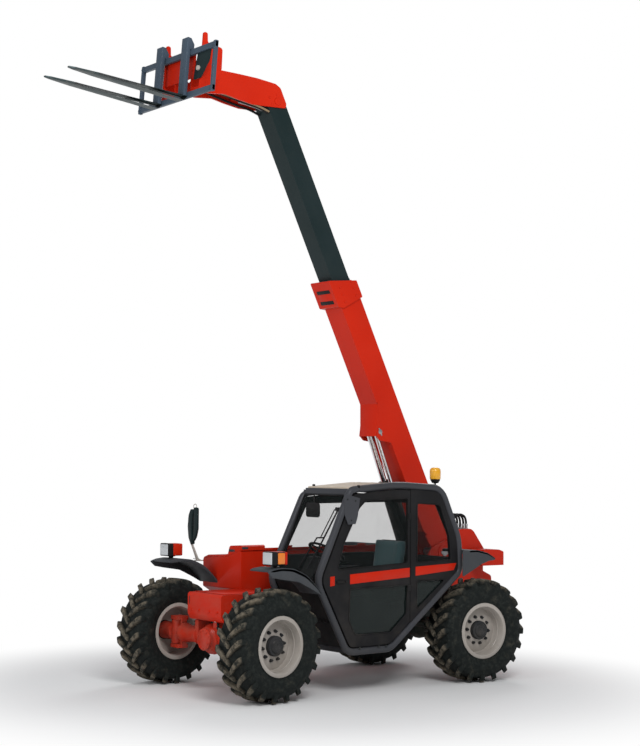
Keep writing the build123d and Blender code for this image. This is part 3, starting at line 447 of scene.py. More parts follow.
    def _chrome(self, graph: Graph, finish: Finish) -> Signal:
        """Hard chrome: polished, with faint grinding lines and an oil film."""
        lines = graph.noise(160.0, 3.0, 0.6, stretch=(1.0, 1.0, 0.05))
        film = graph.noise(8.0, 4.0).band(0.45, 0.8)
        base = graph.mix(film * 0.6, finish.colour, finish.shade)
        return graph.surface(Base_Color=base, Metallic=1.0, Roughness=film * 0.14 + lines * 0.04 + finish.roughness,
                             Normal=graph.bump(lines, 0.1, finish.grain))

    def _glass(self, graph: Graph, finish: Finish) -> Signal:
        """Flat safety glass: clear above, with faint smears; the low panes are painted dark and nearly opaque, a
        painted shade of the dark cab inside.
        """
        # painted shade: below these heights the glass turns dark and nearly opaque, standing for the shaded cab
        # behind it
        low = 1.0 - graph.ramp(graph.axis("Z"), *self.low_pane)
        smear = graph.noise(3.0, 6.0, 0.7).band(0.45, 0.85)
        base = graph.mix(smear, finish.colour, finish.shade)
        return graph.surface(Base_Color=base, Roughness=smear * 0.08 + finish.roughness,
                             Alpha=smear * 0.04 + low * 0.6 + finish.alpha, Specular_IOR_Level=0.2)

    def _lens(self, graph: Graph, finish: Finish) -> Signal:
        """Moulded lens: prisms under a clear face."""
        prisms = graph.node("ShaderNodeTexWave", {"bands_direction": "Z"},
                            {"Vector": graph.place, "Scale": 45.0, "Distortion": 0.0})
        cross = graph.node("ShaderNodeTexWave", {"bands_direction": "Y"},
                           {"Vector": graph.place, "Scale": 45.0, "Distortion": 0.0})
        pattern = prisms * cross
        base = graph.mix(pattern, finish.colour, finish.shade)
        return graph.surface(Base_Color=base, Roughness=pattern * 0.06 + finish.roughness, Coat_Weight=finish.coat,
                             Coat_Roughness=0.03, Normal=graph.bump(pattern, 0.5, self.prism))

    def _cloth(self, graph: Graph, finish: Finish) -> Signal:
        """Woven seat cloth: crossed threads, tone bands and soft sheen."""
        warp = graph.node("ShaderNodeTexWave", {"bands_direction": "Y"},
                          {"Vector": graph.place, "Scale": 260.0, "Distortion": 1.5, "Detail": 2.0})
        weft = graph.node("ShaderNodeTexWave", {"bands_direction": "Z"},
                          {"Vector": graph.place, "Scale": 260.0, "Distortion": 1.5, "Detail": 2.0})
        weave = graph.math("MAXIMUM", warp, weft)
        fade = graph.noise(6.0, 4.0).band(0.35, 0.7)
        base = graph.mix(weave * 0.6 + fade * 0.3, finish.colour, finish.shade)
        return graph.surface(Base_Color=base, Roughness=weave * 0.1 + (finish.roughness - 0.05), Sheen_Weight=0.3,
                             Normal=graph.bump(weave, 0.5, finish.grain))

    def _mirror(self, graph: Graph, finish: Finish) -> Signal:
        """Silvered mirror glass with water spots."""
        spots = graph.noise(70.0, 5.0, 0.7).band(0.6, 0.75)
        base = graph.mix(spots * 0.3, finish.colour, finish.shade)
        return graph.surface(Base_Color=base, Metallic=1.0, Roughness=spots * 0.1 + finish.roughness)


# ---------------------------------------------------------------- bench: modelling in millimetres
class Bench:
    """Blender's modelling operators, wrapped so that a piece is drawn in millimetres and set in the frame."""

    def __init__(self, shift: Vector) -> None:
        self.shift = shift
        self.machine = Matrix.Translation(shift) @ Matrix.Scale(MM, 4)

    @staticmethod
    def only(*pieces: Piece) -> None:
        """Select these pieces alone, the first one active."""
        if bpy.context.object and bpy.context.object.mode != "OBJECT":
            bpy.ops.object.mode_set(mode="OBJECT")
        bpy.ops.object.select_all(action="DESELECT")
        for piece in pieces:
            piece.select_set(True)
        if pieces:
            bpy.context.view_layer.objects.active = pieces[0]

    def _added(self, name: str) -> Piece:
        """Name the object that an operator has just added and put its place into its mesh."""
        piece = bpy.context.active_object
        piece.name = piece.data.name = name
        self.only(piece)
        bpy.ops.object.transform_apply(location=True, rotation=True, scale=True)
        return piece

    def drawn(self, name: str, points: Sequence[Point], edges: Sequence, faces: Sequence) -> Piece:
        """Make an object from plain points, edges and faces."""
        mesh = bpy.data.meshes.new(name)
        mesh.from_pydata([tuple(point) for point in points], edges, faces)
        piece = bpy.data.objects.new(name, mesh)
        bpy.context.scene.collection.objects.link(piece)
        self.only(piece)
        return piece

    def modify(self, piece: Piece, kind: str, **settings: object) -> Piece:
        """Add a modifier with its settings and apply it."""
        self.only(piece)
        modifier = piece.modifiers.new(kind.lower(), kind)
        for key, value in settings.items():
            setattr(modifier, key, value)
        bpy.ops.object.modifier_apply(modifier=modifier.name)
        return piece

    def clean(self, piece: Piece) -> Piece:
        """Merge doubled points and turn every face outward."""
        self.only(piece)
        bpy.ops.object.mode_set(mode="EDIT")
        bpy.ops.mesh.select_all(action="SELECT")
        bpy.ops.mesh.remove_doubles(threshold=0.01)
        bpy.ops.mesh.normals_make_consistent(inside=False)
        bpy.ops.object.mode_set(mode="OBJECT")
        return piece

    def soften(self, piece: Piece, width: float, segments: int = 2, angle: float = 35.0) -> Piece:
        """Round the edges sharper than an angle."""
        if width <= 0:
            return piece
        return self.modify(piece, "BEVEL", width=width, segments=segments, limit_method="ANGLE",
                           angle_limit=math.radians(angle), use_clamp_overlap=True)

    def smooth(self, piece: Piece, angle: float = 40.0) -> Piece:
        """Shade smooth, with edges sharper than an angle kept."""
        self.only(piece)
        bpy.ops.object.shade_smooth_by_angle(angle=math.radians(angle))
        return piece

    def box(self, name: str, low: Point, high: Point, bevel: float = 2.0, segments: int = 2) -> Piece:
        """Block between two corners with rounded edges."""
        self.only()
        middle = [(a + b) / 2 for a, b in zip(low, high)]
        bpy.ops.mesh.primitive_cube_add(size=1.0, location=middle, scale=[b - a for a, b in zip(low, high)])
        return self.soften(self._added(name), bevel, segments)

    def cheek(self, name: str, side: int, low: Point, high: Point, bevel: float = 2.0) -> Piece:
        """Block on one side of the middle, its corners given for the left side."""
        near, far = sorted((side * low[1], side * high[1]))
        return self.box(name, (low[0], near, low[2]), (high[0], far, high[2]), bevel)

    def rod(self, name: str, start: Point, end: Point, radius: float, sides: int = 24, bevel: float = 1.0) -> Piece:
        """Round bar between two points; few sides make a hexagon head."""
        self.only()
        first, last = Vector(start), Vector(end)
        along = last - first
        turn = along.to_track_quat("Z", "Y").to_euler()
        bpy.ops.mesh.primitive_cylinder_add(vertices=sides, radius=radius, depth=along.length,
                                            location=(first + last) / 2, rotation=turn)
        return self.soften(self._added(name), bevel, 2, 50.0)

    def ball(self, name: str, centre: Point, radius: float, stretch: Point = (1, 1, 1)) -> Piece:
        """Rounded knob, stretched along its axes."""
        self.only()
        bpy.ops.mesh.primitive_uv_sphere_add(segments=20, ring_count=12, radius=radius, location=centre,
                                             scale=stretch)
        return self._added(name)

    def slab(self, name: str, outline: Sequence[Flat], low: float, high: float, bevel: float = 1.0,
             flat: str = "XZ") -> Piece:
        """Plate with an outline in two axes, between two distances along the third."""
        spread: dict[str, Callable[[float, float], Point]] = {
            "XZ": lambda a, b: (a, low, b),
            "YZ": lambda a, b: (low, a, b),
            "XY": lambda a, b: (a, b, low),
        }
        push = {"XZ": (0, high - low, 0), "YZ": (high - low, 0, 0), "XY": (0, 0, high - low)}[flat]
        points = [spread[flat](a, b) for a, b in outline]
        piece = self.drawn(name, points, [], [list(range(len(points)))])
        bpy.ops.object.mode_set(mode="EDIT")
        bpy.ops.mesh.select_all(action="SELECT")
        bpy.ops.mesh.extrude_region_move(TRANSFORM_OT_translate={"value": push})
        bpy.ops.mesh.select_all(action="SELECT")
        bpy.ops.mesh.normals_make_consistent(inside=False)
        bpy.ops.object.mode_set(mode="OBJECT")
        return self.soften(piece, bevel)

    def lathe(self, name: str, profile: Sequence[Flat], steps: int = 64, closed: bool = True) -> Piece:
        """Turn a profile of radius and distance about Y."""
        points = [(radius, along, 0.0) for radius, along in profile]
        edges = [(index, index + 1) for index in range(len(points) - 1)]
        if closed:
            edges.append((len(points) - 1, 0))
        piece = self.drawn(name, points, edges, [])
        self.modify(piece, "SCREW", axis="Y", steps=steps, render_steps=steps, use_merge_vertices=True,
                    merge_threshold=0.01, use_normal_calculate=True)
        return self.clean(piece)

    def tube(self, name: str, points: Sequence[Point], radius: float, sides: int = 12, closed: bool = False,
             bend: bool = False) -> Piece:
        """Round tube along points, straight between them or bent smoothly."""
        curve = bpy.data.curves.new(name, "CURVE")
        curve.dimensions = "3D"
        curve.bevel_depth = radius
        curve.bevel_resolution = max(1, sides // 4 - 1)
        curve.resolution_u = 8
        curve.use_fill_caps = not closed
        spline = curve.splines.new("NURBS" if bend else "POLY")
        spline.points.add(len(points) - 1)
        for target, point in zip(spline.points, points):
            target.co = (*point, 1.0)
        spline.use_cyclic_u = closed
        if bend:
            spline.order_u = 3
            spline.use_endpoint_u = not closed
        piece = bpy.data.objects.new(name, curve)
        bpy.context.scene.collection.objects.link(piece)
        self.only(piece)
        bpy.ops.object.convert(target="MESH")
        piece = bpy.context.active_object
        piece.name = piece.data.name = name
        return piece

    def ring_of(self, piece: Piece, count: int, axis: str = "Y", centre: Point = (0, 0, 0),
                total: float = 360.0) -> Piece:
        """Repeat a piece round an axis."""
        hub = bpy.data.objects.new("turn", None)
        bpy.context.scene.collection.objects.link(hub)
        move = Matrix.Translation(centre)
        hub.matrix_world = move @ Matrix.Rotation(math.radians(total / count), 4, axis) @ move.inverted()
        bpy.context.view_layer.update()
        self.modify(piece, "ARRAY", count=count, use_relative_offset=False, use_object_offset=True,
                    offset_object=hub)
        bpy.data.objects.remove(hub)
        return piece

    def join(self, name: str, pieces: Sequence[Piece]) -> Piece:
        """Join pieces into one."""
        self.only(*pieces)
        if len(pieces) > 1:
            bpy.ops.object.join()
        piece = bpy.context.active_object
        piece.name = piece.data.name = name
        return piece

    def copy(self, piece: Piece, name: str) -> Piece:
        """Copy a piece with a mesh of its own."""
        self.only(piece)
        bpy.ops.object.duplicate(linked=False)
        twin = bpy.context.active_object
        twin.name = twin.data.name = name
        return twin

    def put(self, piece: Piece, place: Matrix) -> Piece:
        """Move a piece's mesh by a place in millimetres, turning faces outward again if it is mirrored."""
        piece.data.transform(place)
        if place.determinant() < 0:
            piece.data.flip_normals()
        return piece

    def settle(self, piece: Piece) -> Piece:
        """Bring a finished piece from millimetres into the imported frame."""
        piece.data.transform(self.machine)
        return piece


@dataclass
class Fitter:
    """Dresses pieces with their finish and hangs them on the machine's bodies."""

    bench: Bench
    shop: FinishShop
    count: int = 0

    def fit(self, piece: Piece, body: str, paint: Paints, replaced: Iterable[str] = (),
            angle: float | None = 40.0) -> Piece:
        """Finish a piece.

        Args:
            piece: Piece in millimetres.
            body: Body that carries it.
            paint: Its finish.
            replaced: CAD nodes that it stands for.
            angle: Edges sharper than this stay sharp; None leaves the shading alone.

        Returns:
            The finished piece.
        """
        if angle is not None:
            self.bench.smooth(piece, angle)
        self.bench.settle(piece)
        piece.data.materials.clear()
        piece.data.materials.append(self.shop.material(paint.value))
        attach(piece, body)
        if replaced:
            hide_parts(*replaced)
        self.count += 1
        return piece


class Group:
    """Pieces that are made and fitted together.

    Attributes:
        frames: Frames of the bodies whose pieces aren't drawn in the machine's own.
    """

    frames: dict[str, Matrix] = {"outer_boom": MACHINE.boom_frame(), "inner_boom": MACHINE.boom_frame(),
                                 "carriage": MACHINE.carriage_frame()}

    def __init__(self, bench: Bench, fitter: Fitter) -> None:
        self.bench = bench
        self.fitter = fitter

    def fit(self, name: str, pieces: Sequence[Piece], paint: Paints, body: str = "chassis",
            replaced: Iterable[str] = (), angle: float = 40.0) -> Piece:
        """Join pieces, set them in the machine from the frame of their body and finish them.

        Args:
            name: Name of the joined piece.
            pieces: What is joined, in millimetres.
            paint: Its finish.
            body: Body that carries it.
            replaced: CAD nodes that it stands for.
            angle: Edges sharper than this stay sharp.

        Returns:
            The finished piece.
        """
        piece = self.bench.join(name, pieces)
        if body in self.frames:
            self.bench.put(piece, self.frames[body])
        return self.fitter.fit(piece, body, paint, replaced, angle)

    def mirrored(self, piece: Piece, name: str) -> Piece:
        """Name a left-hand piece and make its right-hand image.

        Args:
            piece: The left-hand piece.
            name: Name of the pair.

        Returns:
            The right-hand piece.
        """
        twin = self.bench.put(self.bench.copy(piece, f"{name}_right"), Matrix.Scale(-1, 4, (0, 1, 0)))
        piece.name = f"{name}_left"
        return twin


def rounded(rows: Sequence[tuple[float, float, float]], step: float = 15.0) -> list[Flat]:
    """Points along a closed outline of x, z and corner radius."""
    points: list[Flat] = []
    for index, (x, z, radius) in enumerate(rows):
        corner = Vector((x, z))
        if radius <= 0:
            points.append((x, z))
            continue
        back = (Vector(rows[index - 1][:2]) - corner).normalized()
        ahead = (Vector(rows[(index + 1) % len(rows)][:2]) - corner).normalized()
        half = math.acos(max(-1.0, min(1.0, back.dot(ahead)))) / 2
        centre = corner + (back + ahead).normalized() * (radius / math.sin(half))
        start = corner + back * (radius / math.tan(half)) - centre
        turn = (math.pi - 2 * half) * (1 if back.x * ahead.y - back.y * ahead.x < 0 else -1)
        steps = max(2, math.ceil(abs(math.degrees(turn)) / step))
        for number in range(steps + 1):
            angle = turn * number / steps
            points.append((centre.x + start.x * math.cos(angle) - start.y * math.sin(angle),
                           centre.y + start.x * math.sin(angle) + start.y * math.cos(angle)))
    return points


# ---------------------------------------------------------------- wheels
@dataclass(frozen=True)
class WheelSizes:
    """Tyre and rim sizes in millimetres."""

    lugs: int = 20
    nuts: int = 10
    nut_ring: float = 137.0
    hub: float = 97.0


class Wheel:
    """Traction tyre with leaning bars on a dished rim with a final-drive hub; the axle lies along Y."""

    carcass: tuple[Flat, ...] = (
        (262, -151), (268, -158), (300, -171), (345, -191), (390, -202), (430, -197), (458, -183), (476, -170),
        (488, -120), (498, -60), (500, 0), (498, 60), (488, 120), (476, 170), (458, 183), (430, 197), (390, 202),
        (345, 191), (300, 171), (268, 158), (262, 151),
    )
    sections: tuple[tuple[float, float, float, float, float], ...] = (
        # distance from the middle, lean in degrees, crest radius, half crest, half foot
        (-6, 0.2, 533, 18, 24), (28, 3.6, 534, 24, 32), (66, 7.6, 534, 27, 35), (104, 11.0, 534, 28, 36),
        (140, 13.8, 533, 29, 37), (166, 15.4, 526, 28, 36), (184, 16.2, 508, 25, 32), (193.5, 16.8, 470, 15, 21),
    )

    depth: float = 62.0
    worn: Flat = (508.0, 22.0)  # radius where soil begins to show, and the height it takes to show fully

    def __init__(self, bench: Bench, sizes: WheelSizes) -> None:
        self.bench = bench
        self.sizes = sizes

    def lug(self) -> Piece:
        """One bar of the left half of the tread, from the middle to the shoulder."""
        bench = self.bench
        points: list[Point] = []
        for y, lean, radius, crest, foot in self.sections:
            root = radius - self.depth
            for reach, half in ((root, -foot), (radius, -crest), (radius, crest), (root, foot)):
                angle = math.radians(lean) + half / radius
                points.append((reach * math.cos(angle), y, reach * math.sin(angle)))
        faces = [(0, 1, 2, 3)]
        for row in range(len(self.sections) - 1):
            start = row * 4
            for side in range(4):
                after = (side + 1) % 4
                faces.append((start + side, start + 4 + side, start + 4 + after, start + after))
        faces.append(tuple(reversed(range(len(points) - 4, len(points)))))
        piece = bench.drawn("lug", points, [], faces)
        bench.clean(piece)
        return bench.soften(piece, 5.0, 2, 40.0)

    def tyre(self) -> Piece:
        """Carcass with two staggered rows of bars and ribs on its side walls."""
        bench = self.bench
        body = bench.lathe("carcass", self.carcass, 72)
        left = bench.ring_of(self.lug(), self.sizes.lugs)
        right = bench.copy(left, "right_lugs")
        turn = Matrix.Rotation(math.radians(180.0 / self.sizes.lugs), 4, "Y")
        bench.put(right, turn @ Matrix.Scale(-1, 4, (0, 1, 0)))
        pieces = [body, left, right]
        for radius, y in ((292, 168.5), (306, 174.5), (410, 197.0), (418, 195.0)):
            for side in (1, -1):
                rib = [(radius - 3, side * (y - 6)), (radius - 2, side * (y + 2)), (radius + 2, side * (y + 1.5)),
                       (radius + 4, side * (y - 6))]
                pieces.append(bench.lathe("rib", rib, 72))
        for angle in (40, 160, 280):
            block = bench.box("mark", (354, 190, -30), (374, 197, 30), 2)
            bench.put(block, Matrix.Rotation(math.radians(angle), 4, "Y"))
            pieces.append(block)
        piece = bench.join("tyre", pieces)
        worn = piece.data.attributes.new("crest", "FLOAT", "POINT")
        start, span = self.worn
        worn.data.foreach_set("value", [max(0.0, min(1.0, (math.hypot(v.co.x, v.co.z) - start) / span))
                                        for v in piece.data.vertices])
        return piece

    def rim(self) -> Piece:
        """Rim barrel with curled flanges, a dished disc, a step ring, and the valve on its boss."""
        bench = self.bench
        barrel = [(253, -150), (256, -158), (284, -163), (288, -167), (284, -170), (252, -170), (242, -160),
                  (236, -120), (236, -8), (170, 22), (112, 42), (86, 44), (86, 60), (108, 62), (150, 50), (178, 45),
                  (205, 36), (230, 28), (238, 40), (240, 110), (244, 150), (252, 170), (284, 170), (288, 167),
                  (284, 163), (256, 158), (253, 150)]
        shell = bench.lathe("barrel", barrel, 72)
        step = bench.lathe("step", [(239, 84), (234, 88), (234, 96), (239, 100)], 72)
        valve = bench.rod("valve", (0, 40, 214), (0, 74, 208), 5, 10)
        boss = bench.rod("boss", (0, 30, 214), (0, 42, 213), 11, 14)
        return bench.join("rim", [shell, step, valve, boss])

    def hub(self) -> Piece:
        """Final-drive hub with its cover, cover bolts, wheel nuts and fill plug."""
        bench = self.bench
        radius = self.sizes.hub
        cover = [(0, 40), (radius, 40), (radius, 96), (radius - 4, 104), (radius - 14, 108), (74, 108), (70, 112),
                 (66, 122), (58, 127), (34, 128), (30, 124), (0, 124)]
        pieces = [bench.lathe("cover", cover, 48, closed=False)]
        nut = bench.rod("nut", (self.sizes.nut_ring, 52, 0), (self.sizes.nut_ring, 76, 0), 15, 6, 1.5)
        stud = bench.rod("stud", (self.sizes.nut_ring, 70, 0), (self.sizes.nut_ring, 86, 0), 8, 12, 1.0)
        washer = bench.rod("washer", (self.sizes.nut_ring, 50, 0), (self.sizes.nut_ring, 57, 0), 19, 20, 1.0)
        pieces.append(bench.ring_of(bench.join("nut", [nut, stud, washer]), self.sizes.nuts))
        screw = bench.rod("screw", (50, 125, 0), (50, 131, 0), 5, 6, 0.6)
        pieces.append(bench.ring_of(screw, 12))
        pieces.append(bench.rod("plug", (0, 122, 16), (0, 128, 16), 9, 6, 0.8))
        return bench.join("hub", pieces)


class WheelSet(Group):
    """All four wheels, made from one wheel."""

    rolled: dict[str, float] = {"front": 7.0, "rear": 31.0}

    def place(self, x: float, side: int, steer: float) -> Matrix:
        """Give a wheel's place in the machine; right-hand wheels are mirrored."""
        kingpin = Matrix.Translation((x, side * MACHINE.kingpin_y, MACHINE.axle_z))
        turned = kingpin @ Matrix.Rotation(math.radians(steer), 4, "Z")
        return turned @ Matrix.Translation((0, side * MACHINE.hub_reach, 0)) @ Matrix.Scale(side, 4, (0, 1, 0))

    def dress(self) -> None:
        """Make one wheel and set copies at the four corners."""
        wheel = Wheel(self.bench, WheelSizes())
        rows = (("tyre", wheel.tyre(), Paints.TYRE, 32.0), ("rim", wheel.rim(), Paints.RIM, 40.0),
                ("hub", wheel.hub(), Paints.HUB, 40.0))
        for end, x, steer in (("front", MACHINE.axle_x, MACHINE.steer), ("rear", -MACHINE.axle_x, -MACHINE.steer)):
            for name, side in (("left", 1), ("right", -1)):
                for kind, master, paint, angle in rows:
                    piece = self.bench.copy(master, f"{kind}_{end}_{name}_fine")
                    turn = Matrix.Rotation(math.radians(self.rolled[end]), 4, "Y")
                    self.bench.put(piece, self.place(x, side, steer) @ turn)
                    node = f"{kind}_{end}_{name}" if kind != "hub" else f"rim_{end}_{name}"
                    self.fitter.fit(piece, f"wheel_{end}_{name}", paint, [node], angle)
        for _, master, _, _ in rows:
            bpy.data.objects.remove(master)


# ---------------------------------------------------------------- small hardware
@dataclass(frozen=True)
class BoltRow:
    """Hexagon heads of one size that point one way."""

    name: str
    body: str
    spots: tuple[Point, ...]
    way: Point
    radius: float = 11.0
    height: float = 9.0
    paint: Paints = Paints.PIN


class Hardware(Group):
    """Rows of bolt heads."""

    def bolts(self, row: BoltRow) -> Piece:
        """Set a row of bolt heads with washers."""
        made = []
        for spot in row.spots:
            end = tuple(a + b * row.height for a, b in zip(spot, row.way))
            rim = tuple(a + b * 2.5 for a, b in zip(spot, row.way))
            back = tuple(a - b * 2.0 for a, b in zip(spot, row.way))
            made.append(self.bench.rod("head", back, end, row.radius, 6, 1.0))
            made.append(self.bench.rod("washer", back, rim, row.radius * 1.35, 16, 0.6))
        return self.fit(row.name, made, row.paint, row.body, angle=30.0)


def grid(xs: Sequence[float], ys: Sequence[float], zs: Sequence[float]) -> tuple[Point, ...]:
    """Every combination of three lists of distances."""
    return tuple((x, y, z) for x in xs for y in ys for z in zs)


BOLT_ROWS: tuple[BoltRow, ...] = (
    BoltRow("nose_side_bolts", "chassis", grid((930, 1080, 1240), (289,), (760, 900)), (0, 1, 0), 13, 10,
            Paints.RED),
    BoltRow("nose_front_bolts", "chassis", grid((1499,), (-230, -90, 90, 230), (800,)), (1, 0, 0), 12, 9,
            Paints.RED),
    BoltRow("axle_pad_bolts", "chassis", grid((1290, 1420), (126, -266), (640, 672)), (0, 1, 0), 12, 10,
            Paints.DARK),
    BoltRow("rear_pad_bolts", "chassis", grid((-1420, -1290), (126, -266), (640, 672)), (0, 1, 0), 12, 10,
            Paints.DARK),
    BoltRow("tower_bolts", "chassis", ((-2120, 101, 1180), (-2120, 101, 900), (-1960, 101, 900), (-1700, 101, 1360),
                                       (-1500, 101, 1260)), (0, 1, 0), 12, 9, Paints.RED),
    BoltRow("weight_bolts", "chassis", ((-2284, -300, 1225), (-2284, -100, 1225), (-2284, 120, 1225),
                                        (-2284, 260, 1225)), (-1, 0, 0), 15, 12, Paints.DARK),
    BoltRow("fender_bolts", "chassis", grid((1140, 1290), (720, -720), (1262,)), (0, 0, 1), 9, 7, Paints.PIN),
    BoltRow("cab_foot_bolts", "chassis", grid((-40, 60, 300), (951,), (452,)), (0, 1, 0), 9, 7, Paints.DARK),
    BoltRow("gusset_bolts", "chassis", ((470, 951, 1905), (370, 951, 1890), (420, 951, 1700)), (0, 1, 0), 7, 6,
            Paints.DARK),
    BoltRow("collar_bolts", "outer_boom", grid((45, 130, 210), (159.5,), (-60, -230)), (0, 1, 0), 11, 9,
            Paints.BOOM_RED),
    BoltRow("collar_far_bolts", "outer_boom", grid((45, 130, 210), (-159.5,), (-60, -230)), (0, -1, 0), 11, 9,
            Paints.BOOM_RED),
    BoltRow("collar_top_bolts", "outer_boom", grid((60, 150), (-90, 0, 90), (15.5,)), (0, 0, 1), 11, 9,
            Paints.BOOM_RED),
    BoltRow("head_web_bolts", "inner_boom", grid((2225, 2300), (127.5,), (-110, -210)), (0, 1, 0), 10, 8,
            Paints.BOOM_RED),
    BoltRow("hitch_bolts", "carriage", grid((208,), (-300, -120, 60, 300), (275,)), (1, 0, 0), 11, 8,
            Paints.GREEN_BLACK),
    BoltRow("upright_bolts", "carriage", grid((264,), (604, -694), (-180, 40, 250)), (1, 0, 0), 10, 8,
            Paints.BLUE_GREY),
)


# ---------------------------------------------------------------- lamps, beacon and mirror
class Lamps(Group):
    """Combined head and turn lamps over the front mudguards."""

    centre: Point = (1310.0, 900.0, 1350.0)

    def pieces(self) -> list[tuple[str, Piece, Paints, tuple[str, ...]]]:
        """Make the parts of the left lamp."""
        x, y, z = self.centre
        bench = self.bench
        red = [bench.box("lamp_case", (x - 95, y - 78, z - 60), (x + 24, y + 54, z + 66), 14, 4),
               bench.box("tail", (x - 95, y + 20, z - 58), (x - 62, y + 76, z + 64), 12, 4)]
        red += [bench.box("rib", (x - 97, y - 60, z + height - 3), (x - 60, y + 60, z + height + 3), 1.5)
                for height in (-30, 0, 30)]
        black = [bench.box("lamp_bezel", (x + 20, y - 80, z - 62), (x + 86, y + 80, z + 68), 10, 3),
                 bench.box("side_frame", (x - 66, y + 48, z - 58), (x + 30, y + 75, z + 64), 6, 3),
                 bench.rod("stalk", (x, y, 1268), (x, y, z - 50), 17, 20),
                 bench.box("clamp", (x - 34, y - 30, z - 68), (x + 34, y + 30, z - 56), 3),
                 bench.rod("nut", (x, y, 1269), (x, y, 1284), 25, 6)]
        lens = bench.box("lamp_lens", (x + 76, y - 72, z - 54), (x + 93, y + 70, z + 60), 7, 4)
        amber = bench.box("turn_lens", (x - 60, y + 60, z - 50), (x + 22, y + 83, z + 56), 8, 4)
        return [("lamp_case", bench.join("lamp_case", red), Paints.RED, ("lamp_housings",)),
                ("lamp_bezel", bench.join("lamp_bezel", black), Paints.BLACK, ()),
                ("lamp_lens", lens, Paints.CLEAR, ("lamp_lenses",)), ("turn_lens", amber, Paints.AMBER, ())]

    def dress(self) -> None:
        """Fit the left lamp and its mirror image."""
        for name, piece, paint, nodes in self.pieces():
            twin = self.mirrored(piece, name)
            self.fitter.fit(piece, "chassis", paint, nodes)
            self.fitter.fit(twin, "chassis", paint)


class Beacon(Group):
    """Amber flashing beacon on its stalk at the roof's rear corner."""

    def dress(self) -> None:
        """Make dome, base and stalk."""
        bench = self.bench
        up = Matrix.Translation((-945, 670, 0)) @ Matrix.Rotation(math.radians(90), 4, "X")
        dome = [(0, 2104), (54, 2104), (57.5, 2112), (57.5, 2190), (54, 2206), (42, 2220), (22, 2227), (0, 2228)]
        lamp = bench.lathe("beacon_dome", dome, 48, closed=False)
        ribs = [bench.lathe("rib", [(56, z - 2), (58, z - 1), (58, z + 1), (56, z + 2)], 48)
                for z in (2124, 2142, 2160, 2178)]
        lamp = bench.join("beacon_dome", [lamp, *ribs])
        bench.put(lamp, up)
        base = [(0, 2060), (30, 2062), (36, 2068), (50, 2092), (52, 2104), (50, 2107), (0, 2107)]
        foot = bench.lathe("beacon_base", base, 48, closed=False)
        bench.put(foot, up)
        stalk = bench.rod("stalk", (-945, 670, 1960), (-945, 670, 2062), 9, 16)
        bracket = bench.box("bracket", (-974, 641, 1946), (-881, 699, 1967), 4)
        nut = bench.rod("nut", (-945, 670, 1966), (-945, 670, 1980), 17, 6)
        cable = bench.tube("cable", [(-925, 655, 1966), (-926, 655, 2020), (-935, 662, 2056)], 4, 8, bend=True)
        self.fitter.fit(lamp, "chassis", Paints.BEACON, ["beacon"])
        self.fit("beacon_base", [foot, stalk, bracket, nut, cable], Paints.BLACK)


class DoorMirror(Group):
    """Two-leaf mirror on a bracket at the right of the engine cover."""

    def dress(self) -> None:
        """Make shell, glass and bracket."""
        bench = self.bench
        leaf = rounded([(-872, 1398, 12), (-916, 1470, 60), (-934, 1585, 90), (-920, 1705, 60), (-882, 1770, 18),
                        (-834, 1764, 16), (-852, 1690, 60), (-862, 1580, 80), (-850, 1480, 60), (-842, 1408, 10)])
        blade = rounded([(-850, 1420, 8), (-796, 1472, 40), (-766, 1560, 60), (-766, 1786, 16), (-830, 1790, 16),
                         (-834, 1500, 60)])
        shell = bench.join("mirror_shell", [bench.slab("leaf", leaf, 1052, 1090, 7, "YZ"),
                                            bench.slab("blade", blade, 1058, 1084, 6, "YZ")])
        inner = rounded([(-838, 1444, 8), (-800, 1486, 40), (-774, 1566, 50), (-774, 1778, 12), (-822, 1782, 12),
                         (-826, 1504, 50)])
        glass = bench.slab("mirror_glass", inner, 1053, 1059, 1, "YZ")
        plate = rounded([(-906, 1432, 8), (-884, 1446, 8), (-748, 1262, 20), (-700, 1250, 6), (-700, 1240, 0),
                         (-784, 1240, 6)])
        arm = [bench.slab("mirror_arm", plate, 1066, 1076, 2, "YZ"),
               bench.box("foot", (1042, -784, 1236), (1098, -700, 1248), 3),
               bench.tube("loop", [(1071, -842, 1770), (1071, -856, 1808), (1071, -818, 1826), (1071, -790, 1812),
                                   (1071, -792, 1780)], 4, 10, bend=True)]
        self.fitter.fit(shell, "chassis", Paints.GREEN_BLACK, ["side_mirror"])
        self.fitter.fit(glass, "chassis", Paints.SILVER)
        self.fit("mirror_arm", arm, Paints.RIM)


# ---------------------------------------------------------------- cab
UPPER_WINDOW = ((582, 1222, 30), (505, 1470, 60), (310, 1820, 60), (225, 1892, 50), (-335, 1914, 30),
                (-335, 1264, 30))
LOWER_WINDOW = ((418, 1036, 20), (-335, 1044, 20), (-314, 752, 30), (-112, 585, 40), (349, 580, 60), (432, 730, 60))
REAR_WINDOW = ((-455, 1862, 20), (-770, 1842, 60), (-900, 1520, 200), (-925, 1275, 20), (-455, 1262, 20))
LOW_REAR_WINDOW = ((-455, 1085, 15), (-455, 790, 15), (-850, 1080, 15))
RIGHT_WINDOW = ((640, 1330, 40), (350, 1850, 60), (-740, 1860, 60), (-930, 1500, 60), (-960, 1330, 40))


